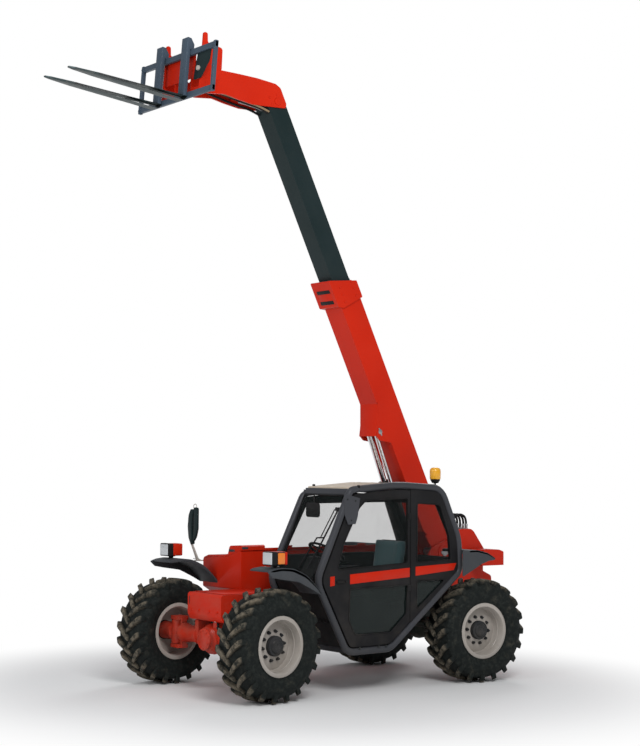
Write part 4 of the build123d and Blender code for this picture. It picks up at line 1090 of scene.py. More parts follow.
class CabTrim(Group):
    """Window seals, stripes, wiper, mirror, grab rail and other trim on the cab."""

    skin: Flat = (934.5, 937.5)  # inner and outer side of the stripes
    stripes: tuple[tuple[str, str, tuple[Flat, ...]], ...] = (
        ("door_stripe", "door", ((420, 1173), (419, 1078), (-358, 1121), (-358, 1214))),
        ("quarter_stripe", "chassis", ((-438, 1221), (-438, 1130), (-964, 1171), (-1000, 1243))),
    )

    def seals(self) -> None:
        """Rubber seals round every window."""
        rows = (("upper_seal", "door", UPPER_WINDOW, 936), ("lower_seal", "door", LOWER_WINDOW, 936),
                ("rear_seal", "chassis", REAR_WINDOW, 936), ("low_rear_seal", "chassis", LOW_REAR_WINDOW, 936),
                ("right_seal", "chassis", RIGHT_WINDOW, 144))
        for name, body, rows_of, y in rows:
            points = [(x, y, z) for x, z in rounded(rows_of, 12.0)]
            self.fitter.fit(self.bench.tube(name, points, 6.5, 8, closed=True), body, Paints.BLACK, angle=60.0)
        front = [(409, 200, 1936), (765, 200, 1106), (765, 876, 1106), (409, 876, 1936)]
        lifted = [(x + 9, y, z + 4) for x, y, z in front]
        self.fitter.fit(self.bench.tube("windshield_seal", lifted, 7.0, 8, closed=True), "chassis", Paints.BLACK,
                        angle=60.0)

    def panels(self) -> None:
        """Plain stripes, header band, roof hooks and roof ribs."""
        bench = self.bench
        for name, body, outline in self.stripes:
            self.fitter.fit(bench.slab(name, outline, *self.skin, 0.8), body, Paints.RED)
        tip = bench.slab("front_stripe", ((668, 1066), (668, 1158), (612, 1162), (612, 1070)), *self.skin, 0.8)
        self.fitter.fit(tip, "door", Paints.RED)
        band = bench.slab("header_band", ((398, 1958), (416, 1956), (410, 2006), (392, 2008)), 204, 872, 2)
        self.fitter.fit(band, "chassis", Paints.CHARCOAL)
        hooks = [bench.box("hook", (307, y - 12, 1988), (332, y + 12, 2045), 6, 3) for y in (222, 936)]
        self.fit("roof_hooks", hooks, Paints.BLACK)
        ribs = []
        for y in (330, 540, 750):
            profile = [(375, 2019), (-190, 2063), (-755, 2033), (-755, 2037.5), (-190, 2067.5), (375, 2023.5)]
            ribs.append(bench.slab("rib", profile, y - 9, y + 9, 1.5))
        self.fit("roof_ribs", ribs, Paints.CREAM)

    def wiper(self) -> None:
        """Pantograph wiper on the windshield, with its motor cover."""
        bench = self.bench
        lift = (10, 0, 5)

        def raised(*points: Point) -> list[Point]:
            return [tuple(a + b for a, b in zip(point, lift)) for point in points]

        pieces = [
            bench.tube("arm", raised((470, 820, 1800), (593, 753, 1522), (718, 659, 1223)), 9, 8),
            bench.tube("link", raised((474, 770, 1800), (596, 700, 1520)), 6, 8),
            bench.tube("blade", raised((601, 830, 1500), (737, 795, 1180)), 8, 8),
            bench.tube("second_blade", raised((593, 640, 1517), (722, 511, 1215)), 8, 8),
            bench.tube("cross", raised((591, 753, 1522), (593, 640, 1517)), 8, 8),
            bench.box("motor", (450, 770, 1788), (484, 850, 1824), 6),
        ]
        self.fit("wiper", pieces, Paints.BLACK, angle=50.0)

    def inside(self) -> None:
        """Interior mirror, instruments, levers, pedals, console top and floor mat."""
        bench = self.bench
        glass = bench.slab("cab_mirror", rounded([(290, 1715, 30), (500, 1715, 30), (500, 1860, 30),
                                                  (290, 1860, 30)]), 452, 474, 6, "YZ")
        stalk = bench.tube("stalk", [(462, 420, 1850), (440, 380, 1900), (405, 340, 1935)], 7, 10, bend=True)
        self.fit("cab_mirror", [glass, stalk], Paints.BLACK)
        face = bench.slab("instruments", ((430, 1334), (452, 1330), (496, 1322), (500, 1330), (456, 1340),
                                          (432, 1340)), 450, 630, 2)
        knobs = [bench.rod("gauge", (472, y, 1330), (470, y, 1344), 20, 24, 2) for y in (490, 540, 590)]
        levers = []
        for x, y, tall in ((70, 215, 120), (20, 235, 90), (-40, 215, 80), (110, 245, 70)):
            levers.append(bench.rod("lever", (x, y, 1180), (x + 10, y, 1190 + tall), 6, 12))
            levers.append(bench.ball("knob", (x + 10, y, 1196 + tall), 19, (1, 1, 1.3)))
        turn = bench.tube("turn_lever", [(440, 470, 1300), (410, 400, 1330), (396, 372, 1340)], 5, 10)
        pedals = [bench.box("pedal", (560, y - 32, 700), (584, y + 32, 790), 4) for y in (420, 660, 760)]
        self.fit("controls", [face, *knobs, *levers, turn, *pedals], Paints.BLACK)
        grip = bench.box("console_top", (-250, 172, 1196), (130, 278, 1204), 3)
        self.fitter.fit(grip, "chassis", Paints.CHARCOAL)
        mat = [bench.box("mat", (-120, 210, 476), (420, 860, 484), 3)]
        for y in range(250, 850, 60):
            mat.append(bench.box("ridge", (-90, y - 6, 483), (400, y + 6, 488), 1.5))
        self.fit("floor_mat", mat, Paints.BLACK)

    def steering(self) -> None:
        """Padded steering wheel with spokes and boss."""
        bench = self.bench
        frame = Matrix.Translation((400, 540, 1372)) @ Matrix.Rotation(math.radians(-30), 4, "Y")
        profile = [(185 + 13 * math.cos(turn), 12 * math.sin(turn))
                   for turn in (2 * math.pi * step / 12 for step in range(12))]
        rim = bench.lathe("rim", profile, 48)
        bench.put(rim, Matrix.Rotation(math.radians(90), 4, "X"))
        boss = bench.rod("boss", (0, 0, -12), (0, 0, 13), 32, 32, 5)
        pieces = [rim, boss]
        for angle in (90, 210, 330):
            spoke = bench.box("spoke", (24, -13, -6), (178, 13, 6), 3)
            bench.put(spoke, Matrix.Rotation(math.radians(angle), 4, "Z"))
            pieces.append(spoke)
        wheel = bench.join("steering_wheel_fine", pieces)
        bench.put(wheel, frame)
        self.fitter.fit(wheel, "chassis", Paints.BLACK, ["steering_wheel"])

    def door(self) -> None:
        """Door lock with its lever, and the grab rail."""
        bench = self.bench
        lock = bench.rod("lock", (470, 935, 1105), (470, 944, 1105), 13, 20)
        lever = bench.box("lever", (502, 946, 1095), (588, 952, 1115), 3)
        self.fit("door_lock", [lock, lever], Paints.BLACK, "door")
        rail = bench.tube("grab_rail", [(-372, 890, 1180), (-372, 868, 1200), (-372, 868, 1560), (-372, 890, 1580)],
                          10, 12, bend=True)
        self.fitter.fit(rail, "chassis", Paints.BLACK)

    def dress(self) -> None:
        """Fit all the trim."""
        self.seals()
        self.panels()
        self.wiper()
        self.inside()
        self.steering()
        self.door()


class Seat(Group):
    """Driver's seat: suspension base, and a sewn cushion and backrest."""

    cap: float = 0.014  # furthest that a point may swell, in metres
    pressure: float = 4.0
    steps: int = 20
    seam: Flat = (14.0, 5.0)  # half width and depth of a sewn channel

    def pad(self, name: str, low: Point, high: Point, lean: float, at: Point) -> Piece:
        """Swell a block into a sewn pad and lean it back."""
        bench = self.bench
        piece = bench.box(name, low, high, 22, 4)
        size = [b - a for a, b in zip(low, high)]
        bench.modify(piece, "REMESH", mode="VOXEL", voxel_size=max(6.0, min(size) / 10))
        self._swell(piece)
        self._seams(piece, low, high)
        turn = Matrix.Translation(at) @ Matrix.Rotation(math.radians(lean), 4, "Y") @ Matrix.Translation(
            [-value for value in at])
        return bench.put(piece, turn)

    def _swell(self, piece: Piece) -> None:
        """Inflate a pad with cloth, never letting a point move further than a cap."""
        self.bench.only(piece)
        piece.data.transform(Matrix.Scale(MM, 4))
        start = [vertex.co.copy() for vertex in piece.data.vertices]
        cloth = piece.modifiers.new("cloth", "CLOTH")
        cloth.settings.use_pressure = True
        cloth.settings.uniform_pressure_force = self.pressure
        cloth.settings.effector_weights.gravity = 0.0
        cloth.settings.quality = 5
        scene = bpy.context.scene
        for number in range(1, self.steps + 1):
            scene.frame_set(number)
        bpy.ops.object.modifier_apply(modifier=cloth.name)
        scene.frame_set(1)
        for vertex, place in zip(piece.data.vertices, start):
            moved = vertex.co - place
            if moved.length > self.cap:
                vertex.co = place + moved.normalized() * self.cap
        piece.data.transform(Matrix.Scale(1 / MM, 4))
        self.bench.modify(piece, "SMOOTH", factor=0.5, iterations=4)

    @staticmethod
    def _seams(piece: Piece, low: Point, high: Point) -> None:
        """Press sewn channels into a pad along two lines."""
        width, deep = Seat.seam
        middle = (low[1] + high[1]) / 2
        half = (high[1] - low[1]) / 2
        centre = Vector([(a + b) / 2 for a, b in zip(low, high)])
        for vertex in piece.data.vertices:
            for line in (-0.5, 0.5):
                gap = abs(vertex.co.y - (middle + line * half))
                if gap < width:
                    depth = deep * (1 - gap / width) ** 2
                    inward = Vector((centre.x - vertex.co.x, 0, centre.z - vertex.co.z))
                    if inward.length > 1:
                        vertex.co += inward.normalized() * depth

    def dress(self) -> None:
        """Fit base and pads."""
        bench = self.bench
        cushion = self.pad("seat_cushion", (-330, 325, 1022), (34, 755, 1092), 4, (-330, 540, 1050))
        back = self.pad("seat_back", (-432, 325, 1075), (-350, 755, 1484), -9, (-390, 540, 1080))
        for piece in (cushion, back):
            self.fitter.fit(piece, "chassis", Paints.CLOTH, ["seat"], angle=180.0)
        base = [bench.box("base", (-360, 345, 864), (-60, 735, 900), 8),
                bench.box("rail", (-370, 400, 896), (-20, 430, 915), 3),
                bench.box("rail", (-370, 650, 896), (-20, 680, 915), 3),
                bench.box("pan", (-340, 335, 990), (20, 745, 1026), 10)]
        for row in range(5):
            low = 912 + row * 16
            base.append(bench.box("bellows", (-330 + row % 2 * 8, 360 + row % 2 * 8, low),
                                  (-30 - row % 2 * 8, 720 - row % 2 * 8, low + 17), 5))
        shell = bench.box("shell", (-458, 335, 1060), (-432, 745, 1484), 12, 3)
        turn = Matrix.Translation((-390, 540, 1080)) @ Matrix.Rotation(math.radians(-9), 4, "Y")
        bench.put(shell, turn @ Matrix.Translation((390, -540, -1080)))
        self.fit("seat_base", [*base, shell], Paints.BLACK)


# ---------------------------------------------------------------- hood, nose and tower
class Body(Group):
    """Vents, seams, latches, covers and hoses on the bodywork."""

    hose_offsets: tuple[float, ...] = (-75.0, -25.0, 25.0, 75.0)

    def hood(self) -> None:
        """Inlet grille, louvres, latches and rubber seam of the engine cover."""
        bench = self.bench
        slots = [bench.box("slot", (853, -505, 1340), (860, -400, 1362), 4),
                 bench.box("slot", (775, -282, 1372), (850, -277, 1394), 2)]
        slots += [bench.box("slat", (856, -500 + 14 * index, 1337), (862, -496 + 14 * index, 1365), 1)
                  for index in range(8)]
        slots += [bench.box("slat", (778 + 12 * index, -283, 1370), (782 + 12 * index, -277, 1396), 1)
                  for index in range(6)]
        self.fit("inlet_grille", slots, Paints.FENDER, "hood_lid")
        louvres = []
        for row in range(8):
            for start in (-560, -120, 320):
                z = 1150 - row * 34
                louvres.append(bench.slab("louvre", ((start, z), (start + 300, z), (start + 300, z + 16),
                                                     (start, z + 16)), -976, -968, 3))
        self.fit("side_louvres", louvres, Paints.DARK)
        seam = bench.tube("lid_seam", [(-998, -970.5, 1222), (858, -970.5, 1222)], 5, 8)
        self.fitter.fit(seam, "chassis", Paints.BLACK)
        latches = [bench.box("latch", (x - 22, -976, 1200), (x + 22, -969, 1244), 4) for x in (-600, 500)]
        self.fit("lid_latches", latches, Paints.BLACK, "hood_lid")

    def nose(self) -> None:
        """Dark patches painted as the shade inside the front box's slots and eye, its pin and its cover."""
        bench = self.bench
        # painted shade: thin dark boxes and a dark disc stand for the shaded insides of the slots and the eye
        slot = bench.join("nose_slot", [bench.box("side", (1296, 289, 830), (1378, 291.5, 846), 1),
                                        bench.box("front", (1497, -266, 850), (1501, -254, 930), 1)])
        eye = bench.rod("eye", (1440, 286, 720), (1440, 294, 720), 24, 24)
        self.fit("nose_openings", [slot, eye], Paints.DARK)
        pin = [bench.rod("pin", (1250, 284, 800), (1250, 322, 800), 20, 24, 3),
               bench.box("keeper", (1226, 290, 776), (1274, 298, 786), 2)]
        self.fit("nose_pin", pin, Paints.PIN)
        lid = bench.box("nose_cover", (900, -250, 970), (1440, 250, 976), 2)
        self.fitter.fit(lid, "chassis", Paints.RED)

    def tower(self) -> None:
        """Keeper plates and caps of the boom pin, and the hose fittings on the tower."""
        bench = self.bench
        x, z = MACHINE.boom_point(*MACHINE.boom_pivot)
        keepers = []
        for y, way in ((124, 1), (-264, -1)):
            keepers.append(bench.box("keeper", (x - 58, min(y, y + way * 8), z - 16),
                                     (x + 58, max(y, y + way * 8), z + 16), 3))
            keepers.append(bench.rod("cap", (x, y - way * 6, z), (x, y + way * 5, z), 38, 32, 3))
        self.fit("boom_pin_keepers", keepers, Paints.PIN)
        fittings = []
        for offset in self.hose_offsets:
            y = MACHINE.boom_y + offset
            fittings.append(bench.rod("nut", (-2028, y, 1529), (-2031, y, 1556), 19, 6, 1.5))
            fittings.append(bench.rod("sleeve", (-2031, y, 1552), (-2035, y, 1598), 15.5, 20, 2))
        self.fit("hose_fittings", fittings, Paints.PIN)

    def hoses(self) -> None:
        """Four hydraulic hoses that loop over the tower."""
        path = [(-2030, 1548), (-2036, 1610), (-2020, 1672), (-1976, 1700), (-1926, 1706), (-1874, 1694),
                (-1834, 1652), (-1814, 1596), (-1804, 1502)]
        made = []
        for index, offset in enumerate(self.hose_offsets):
            y = MACHINE.boom_y + offset
            points = [(px + (index % 2) * 3, y + math.sin(step * 0.9 + index) * 2.5, pz)
                      for step, (px, pz) in enumerate(path)]
            made.append(self.bench.tube("hose", points, 12.5, 16, bend=True))
        self.fit("tower_hoses_fine", made, Paints.HOSE, replaced=["tower_hoses"], angle=60.0)

    def axles(self) -> None:
        """Covers, flanges and trumpets of both axles, with their bolts."""
        bench = self.bench
        for name, x, inward, paint in (("front", MACHINE.axle_x, -1, Paints.AXLE),
                                       ("rear", -MACHINE.axle_x, 1, Paints.REAR_AXLE)):
            made = [bench.rod("cover", (x - inward * 128, 0, 520), (x - inward * 150, 0, 520), 108, 40, 4)]
            bolts = bench.rod("bolt", (x - inward * 146, 0, 520 + 92), (x - inward * 158, 0, 520 + 92), 9, 6, 1)
            made.append(bench.ring_of(bolts, 10, "X", (x, 0, 520)))
            for side in (1, -1):
                made.append(bench.rod("flange", (x, side * 250, 535), (x, side * 272, 535), 96, 36, 4))
                heads = bench.rod("bolt", (x, side * 270, 535 + 84), (x, side * 282, 535 + 84), 8, 6, 1)
                made.append(bench.ring_of(heads, 8, "Y", (x, 0, 535)))
                trumpet = [(70, side * 275), (90, side * 275), (80, side * 380), (82, side * 470), (98, side * 535),
                           (98, side * 548), (70, side * 548)]
                made.append(bench.put(bench.lathe("trumpet", trumpet, 36), Matrix.Translation((x, 0, 535))))
            self.fit(f"{name}_axle_covers", made, paint)

    def dress(self) -> None:
        """Fit everything on the bodywork."""
        self.hood()
        self.nose()
        self.tower()
        self.hoses()
        self.axles()


class Fenders(Group):
    """Moulded mudguards: rolled tops with a deeper outer lip."""

    crown: tuple[tuple[float, float, float], ...] = (
        (1488, 1232, 8), (1420, 1256, 60), (1320, 1268, 300), (1180, 1258, 300), (1020, 1190, 320),
        (890, 1070, 260),
        (838, 1010, 6), (856, 1000, 6),
    )
    tail: tuple[tuple[float, float, float], ...] = ((-1230, 1374, 120), (-1380, 1340, 160), (-1492, 1282, 8))

    def left(self) -> list[tuple[str, Piece]]:
        """Make the front and the rear guard of the left side."""
        bench = self.bench
        slab = bench.slab
        under = ((905, 1058, 200), (1040, 1162, 260), (1195, 1226, 260), (1320, 1236, 200), (1420, 1226, 60))
        lip = ((960, 1055, 100), (1120, 1130, 120), (1320, 1160, 100), (1430, 1180, 30))
        front = [slab("top", rounded([*self.crown, *under], 6.0), 700, 1030, 6),
                 slab("lip", rounded([*self.crown, *lip], 6.0), 1018, 1030, 4)]
        sheet = ((-1112, 1374, 0), *self.tail, (-1482, 1268, 6), (-1370, 1318, 160), (-1226, 1346, 120),
                 (-1112, 1346, 0))
        edge = ((-1020, 1372, 12), *self.tail, (-1474, 1262, 12), (-1400, 1256, 60), (-1290, 1226, 120),
                (-1150, 1160, 120), (-1020, 1100, 14))
        rear = [slab("top", rounded(sheet, 6.0), 600, 1016, 6), slab("lip", rounded(edge, 6.0), 1004, 1016, 4)]
        return [("front_fender", bench.join("front_fender", front)),
                ("rear_fender", bench.join("rear_fender", rear))]

    def dress(self) -> None:
        """Fit both sides; the right front guard is cut away behind the engine cover."""
        for name, piece in self.left():
            twin = self.mirrored(piece, name)
            if name == "front_fender":
                cutter = self.bench.box("cutter", (820, -1040, 980), (862, -690, 1300), 0)
                self.bench.modify(twin, "BOOLEAN", operation="DIFFERENCE", object=cutter, solver="EXACT")
                bpy.data.objects.remove(cutter)
            for one in (piece, twin):
                self.fitter.fit(one, "chassis", Paints.FENDER, ["fenders"])


# ---------------------------------------------------------------- boom, head and carriage
class BoomTrim(Group):
    """Wear pads, pins, pipes and hoses of the boom, its head and the fork carriage."""

    web: float = 127.5

    def outer(self) -> None:
        """Wear pads, collar floor, black patches painted as the shade inside the collar's slots, cover between the
        ears, and ends of the lift cylinder's pin.
        """
        bench = self.bench
        pads = [bench.box("pad", (196, -96, -28), (238, 96, -14), 2),
                bench.box("pad", (262, -96, -274), (306, 96, -256), 2)]
        for side in (1, -1):
            pads.append(bench.cheek("pad", side, (200, 111, -250), (214, 121, -40), 2))
        self.fit("wear_pads", pads, Paints.FENDER, "outer_boom")
        filler = bench.box("collar_floor", (50, -117, -334), (220, 117, -307), 1)
        self.fit("collar_floor", [filler], Paints.BOOM_RED, "outer_boom")
        # painted shade: thin black boxes stand for the shaded insides of the collar's slots
        slots = [bench.box("slot", (along, -108, -336.5), (along + 40, 108, -330), 1.5) for along in (65, 185)]
        self.fit("collar_slots", slots, Paints.BLACK, "outer_boom")
        cover = ((-1100, -270), (-1180, -310), (-1320, -378), (-1412, -442), (-1417, -450), (-1322, -387),
                 (-1180, -318), (-1096, -277))
        self.fit("ear_cover", [bench.slab("ear_cover", cover, -140, 140, 1.5)], Paints.BOOM_RED, "outer_boom")
        pins = []
        for side in (1, -1):
            pins.append(bench.rod("pin", (-1400, side * 118, -375), (-1400, side * 147, -375), 26, 32, 3))
            pins.append(bench.cheek("keeper", side, (-1444, 140, -383), (-1356, 146, -367), 2))
        self.fit("lift_pin_ends", pins, Paints.PIN, "outer_boom")

    def head(self) -> None:
        """Pin bosses of the head, its hoses and steel pipes."""
        bench = self.bench
        bosses = []
        for (along, under), radius, reach in ((MACHINE.tilt_base, 38, 136), (MACHINE.carriage_pivot, 46, 132)):
            for side in (1, -1):
                near, far = side * self.web, side * reach
                bosses.append(bench.rod("boss", (along, near, -under), (along, far, -under), radius, 36, 2))
        self.fit("head_bosses", bosses, Paints.BOOM_RED, "inner_boom")
        hoses = []
        for y, sag in ((70, 0), (88, 14), (-70, 6)):
            hoses.append(bench.tube("hose", [(2160, y, -262), (2240, y, -330 - sag), (2330, y * 0.95, -470 - sag),
                                             (2430, y * 0.9, -610 - sag), (2520, y * 0.9, -730 - sag / 2),
                                             (2570, y * 0.8, -800)], 13, 12, bend=True))
        self.fit("head_hoses", hoses, Paints.HOSE, "inner_boom", angle=60.0)
        tan = bench.tube("tan_hose", [(2170, 102, -262), (2250, 108, -350), (2350, 112, -500), (2460, 108, -660),
                                      (2548, 96, -786)], 11, 12, bend=True)
        self.fit("tan_hose", [tan], Paints.TAN_HOSE, "inner_boom", angle=60.0)
        pipes = [bench.tube("pipe", [(2190, y, -262), (2262, y, -350), (2372, y, -530)], 7, 12, bend=True)
                 for y in (20, 40)]
        self.fit("head_pipes", pipes, Paints.PIN, "inner_boom", angle=60.0)

    def load_frame(self) -> None:
        """Cross bars between end uprights, and the lock plate with its pale pin."""
        bench = self.bench
        low, high = -710, 620
        bars = [bench.slab("bar", ((226, z), (260, z), (260, z + tall), (226, z + tall)), low, high, 3)
                for z, tall in ((224, 58), (-202, 56))]
        post = rounded([(224, -210, 8), (264, -210, 8), (264, 290, 8), (224, 290, 8)])
        bars += [bench.slab("post", post, y, y + 32, 2) for y in (low, high - 32)]
        self.fit("load_frame", bars, Paints.BLUE_GREY, "carriage", ["fork_carriage"])
        edge = rounded([(295, 248, 10), (520, 248, 30), (500, 120, 50), (370, -30, 40), (246, -30, 16),
                        (270, 120, 60)])
        plate = bench.slab("lock_plate", edge, 228, 242, 2.5, "YZ")
        self.fit("lock_plate", [plate], Paints.GREEN_BLACK, "carriage")
        pin = bench.rod("lock_pin", (240, 332, 71), (262, 332, 71), 24, 28, 3)
        self.fit("lock_pin", [pin], Paints.RIM, "carriage")

    def fork_frame(self) -> None:
        """Pin ends and keepers of the hitch, and welds and stops on the carriage."""
        bench = self.bench
        ends = []
        for side in (1, -1):
            ends.append(bench.rod("end", (0, side * 150, 0), (0, side * 166, 0), 34, 32, 3))
            ends.append(bench.cheek("keeper", side, (-44, 160, -9), (44, 167, 9), 2))
            ends.append(bench.rod("end", (10, side * 52, 200), (10, side * 62, 200), 26, 28, 3))
        self.fit("hitch_pins", ends, Paints.PIN, "carriage")
        welds = []
        for y in (592, -678):
            for z in (228, 278, -198, -150):
                welds.append(bench.tube("weld", [(262, y - 4, z), (262, y + 4, z)], 4, 8))
        for middle in (140.0, -320.0):
            for z in (-60, 20, 100):
                welds.append(bench.box("stop", (304, middle - 20, z - 8), (307, middle + 20, z + 8), 1))
        self.fit("carriage_welds", welds, Paints.BLUE_GREY, "carriage")

    def glands(self) -> None:
        """Gland nuts, wiper rings, ports and pipes of the cylinders."""
        bench = self.bench
        ear = MACHINE.boom_point(*MACHINE.ear_pin)
        base = MACHINE.lift_base
        tilt = MACHINE.boom_point(*MACHINE.tilt_base)
        turn, reach = math.radians(MACHINE.fork_tilt), Vector((10.0, 200.0))
        pivot = MACHINE.boom_point(*MACHINE.carriage_pivot)
        lug = (pivot[0] + reach.x * math.cos(turn) - reach.y * math.sin(turn),
               pivot[1] + reach.x * math.sin(turn) + reach.y * math.cos(turn))
        rows = (("lift_gland", "lift_barrels", base, ear, MACHINE.boom_y - 48, 1180.0, 62.0, 36.0),
                ("level_gland", "lift_barrels", base, ear, MACHINE.boom_y + 60, 1140.0, 44.0, 23.0),
                ("tilt_gland", "tilt_barrel", tilt, lug, MACHINE.boom_y, 590.0, 42.0, 25.0))
        for name, body, start, end, y, barrel, radius, rod in rows:
            first = Vector((start[0], y, start[1]))
            along = (Vector((end[0], y, end[1])) - first).normalized()
            outward = along.cross(Vector((0, 1, 0)))

            def at(distance: float, out: float) -> Point:
                return tuple(first + along * distance + outward * out)

            ring = [(rod + 1.0, barrel), (radius + 3, barrel), (radius + 3, barrel - 34), (radius - 1, barrel - 38),
                    (radius - 1, barrel - 40), (rod + 1.0, barrel - 40)]
            place = Matrix.Translation(first) @ along.to_track_quat("Y", "Z").to_matrix().to_4x4()
            gland = bench.put(bench.lathe("gland", ring, 32), place)
            wiper = bench.lathe("wiper", [(rod + 0.6, barrel - 1), (rod + 9, barrel - 1), (rod + 7, barrel + 5),
                                          (rod + 0.6, barrel + 6)], 32)
            bench.put(wiper, place)
            port = bench.rod("port", at(90, radius - 4), at(90, radius + 16), 13, 6)
            upper = bench.rod("port", at(barrel - 70, radius - 4), at(barrel - 70, radius + 16), 13, 6)
            pipe = bench.tube("pipe", [at(90, radius + 12), at(130, radius + 14), at(barrel - 110, radius + 14),
                                       at(barrel - 70, radius + 12)], 6, 10)
            self.fit(name, [gland, wiper, port, upper, pipe], Paints.DARK, body)

    def dress(self) -> None:
        """Fit everything on the boom."""
        self.outer()
        self.head()
        self.load_frame()
        self.fork_frame()
        self.glands()


class Forks(Group):
    """Pallet forks: hooked shanks, and blades that thin and narrow to rounded toes."""

    middles: tuple[float, float] = (140.0, -320.0)
    half: float = 52.0
    toe: float = 1555.0

    def dress(self) -> None:
        """Make one fork and set it at both places."""
        bench = self.bench
        half, toe = self.half, self.toe
        side = ((265, -235, 50), (toe, -208, 4), (toe, -196, 4), (700, -190, 0), (305, -190, 0), (265, -190, 0))
        plan = ((200, -half, 0), (toe - 300, -half, 60), (toe - 60, -30, 30), (toe, -12, 11), (toe, 12, 11),
                (toe - 60, 30, 30), (toe - 300, half, 60), (200, half, 0))
        hook = ((265, -190, 0), (305, -190, 0), (305, 400, 6), (262, 396, 6), (222, 340, 6), (222, 286, 3),
                (265, 286, 3))
        for number, middle in enumerate(self.middles, 1):
            place = MACHINE.carriage_frame() @ Matrix.Translation((0, middle, 0))
            blade = bench.slab("blade", rounded(side), -half, half, 0)
            cutter = bench.slab("cutter", rounded(plan), -400, 400, 0, "XY")
            bench.modify(blade, "BOOLEAN", operation="INTERSECT", object=cutter, solver="EXACT")
            bpy.data.objects.remove(cutter)
            blade.name = f"fork_blade_{number}"
            bench.put(bench.soften(blade, 2.5), place)
            self.fitter.fit(blade, "carriage", Paints.FORK, ["forks"])
            shank = bench.slab(f"fork_shank_{number}", rounded(hook), -half, half, 3)
            self.fitter.fit(bench.put(shank, place), "carriage", Paints.BLUE_GREY, ["forks"])


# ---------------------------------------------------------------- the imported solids' own surfaces
@dataclass(frozen=True)
class Skin:
    """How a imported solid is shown."""

    node: str
    paint: Paints
    bevel: float = 3.0
    angle: float = 34.0


SKINS: tuple[Skin, ...] = (
    Skin("chassis_frame", Paints.CHASSIS, 3.0), Skin("boom_pin", Paints.PIN, 2.0),
    Skin("counterweight", Paints.RED, 6.0), Skin("engine_block", Paints.DARK, 4.0),
    Skin("engine_hood", Paints.RED, 4.0), Skin("hood_lid", Paints.RED, 6.0), Skin("drivetrain", Paints.DARK, 4.0),
    Skin("front_axle", Paints.AXLE, 5.0), Skin("rear_axle", Paints.REAR_AXLE, 5.0),
    Skin("cab_frame", Paints.CHARCOAL, 3.0, 50.0),
    Skin("cab_shell", Paints.LINING, 2.5), Skin("cab_roof", Paints.CREAM, 4.0),
    Skin("windshield", Paints.GLASS, 1.0),
    Skin("cab_windows", Paints.GLASS, 1.0), Skin("door_frame", Paints.LINING, 2.5),
    Skin("door_glass", Paints.GLASS, 1.0), Skin("dashboard", Paints.BLACK, 8.0),
    Skin("outer_boom", Paints.BOOM_RED, 4.0), Skin("inner_boom", Paints.GREEN_BLACK, 4.0),
    Skin("boom_head", Paints.BOOM_RED, 4.0), Skin("carriage_hitch", Paints.BOOM_RED, 3.0),
    Skin("lift_barrels", Paints.DARK, 1.5), Skin("lift_rods", Paints.CHROME, 1.0),
    Skin("tilt_barrel", Paints.DARK, 1.5), Skin("tilt_rod", Paints.CHROME, 1.0),
    *(Skin(f"knuckle_{end}_{side}", paint, 4.0) for end, paint in (("front", Paints.AXLE),
                                                                   ("rear", Paints.REAR_AXLE))
      for side in ("left", "right")),
)


class Skins:
    """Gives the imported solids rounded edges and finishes, leaving their shape alone."""

    def __init__(self, nodes: dict[str, Piece], shop: FinishShop) -> None:
        self.nodes = nodes
        self.shop = shop

    def dress(self, skin: Skin) -> None:
        """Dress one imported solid."""
        piece = self.nodes[skin.node]
        Bench.only(piece)
        bpy.ops.object.shade_smooth()
        weld = piece.modifiers.new("weld", "WELD")
        weld.merge_threshold = 0.00005
        edge = piece.modifiers.new("edge", "BEVEL")
        edge.width = skin.bevel * MM
        edge.segments = 2
        edge.limit_method = "ANGLE"
        edge.angle_limit = math.radians(skin.angle)
        edge.use_clamp_overlap = True
        flow = piece.modifiers.new("flow", "WEIGHTED_NORMAL")
        flow.keep_sharp = True
        flow.weight = 60
        piece.data.materials.clear()
        piece.data.materials.append(self.shop.material(skin.paint.value))


# ---------------------------------------------------------------- stage
@dataclass(frozen=True)
class View:
    """The camera's place in machine metres, its angles in radians, its lens in millimetres and its shift."""

    place: Point = (10.1035, 12.6762, 2.2046)
    yaw: float = -2.2285
    pitch: float = 0.0496
    roll: float = 0.0089
    sensor: float = 36.0
    lens: float = 74.79893
    shift: Flat = (0.0242895, 0.0246113)


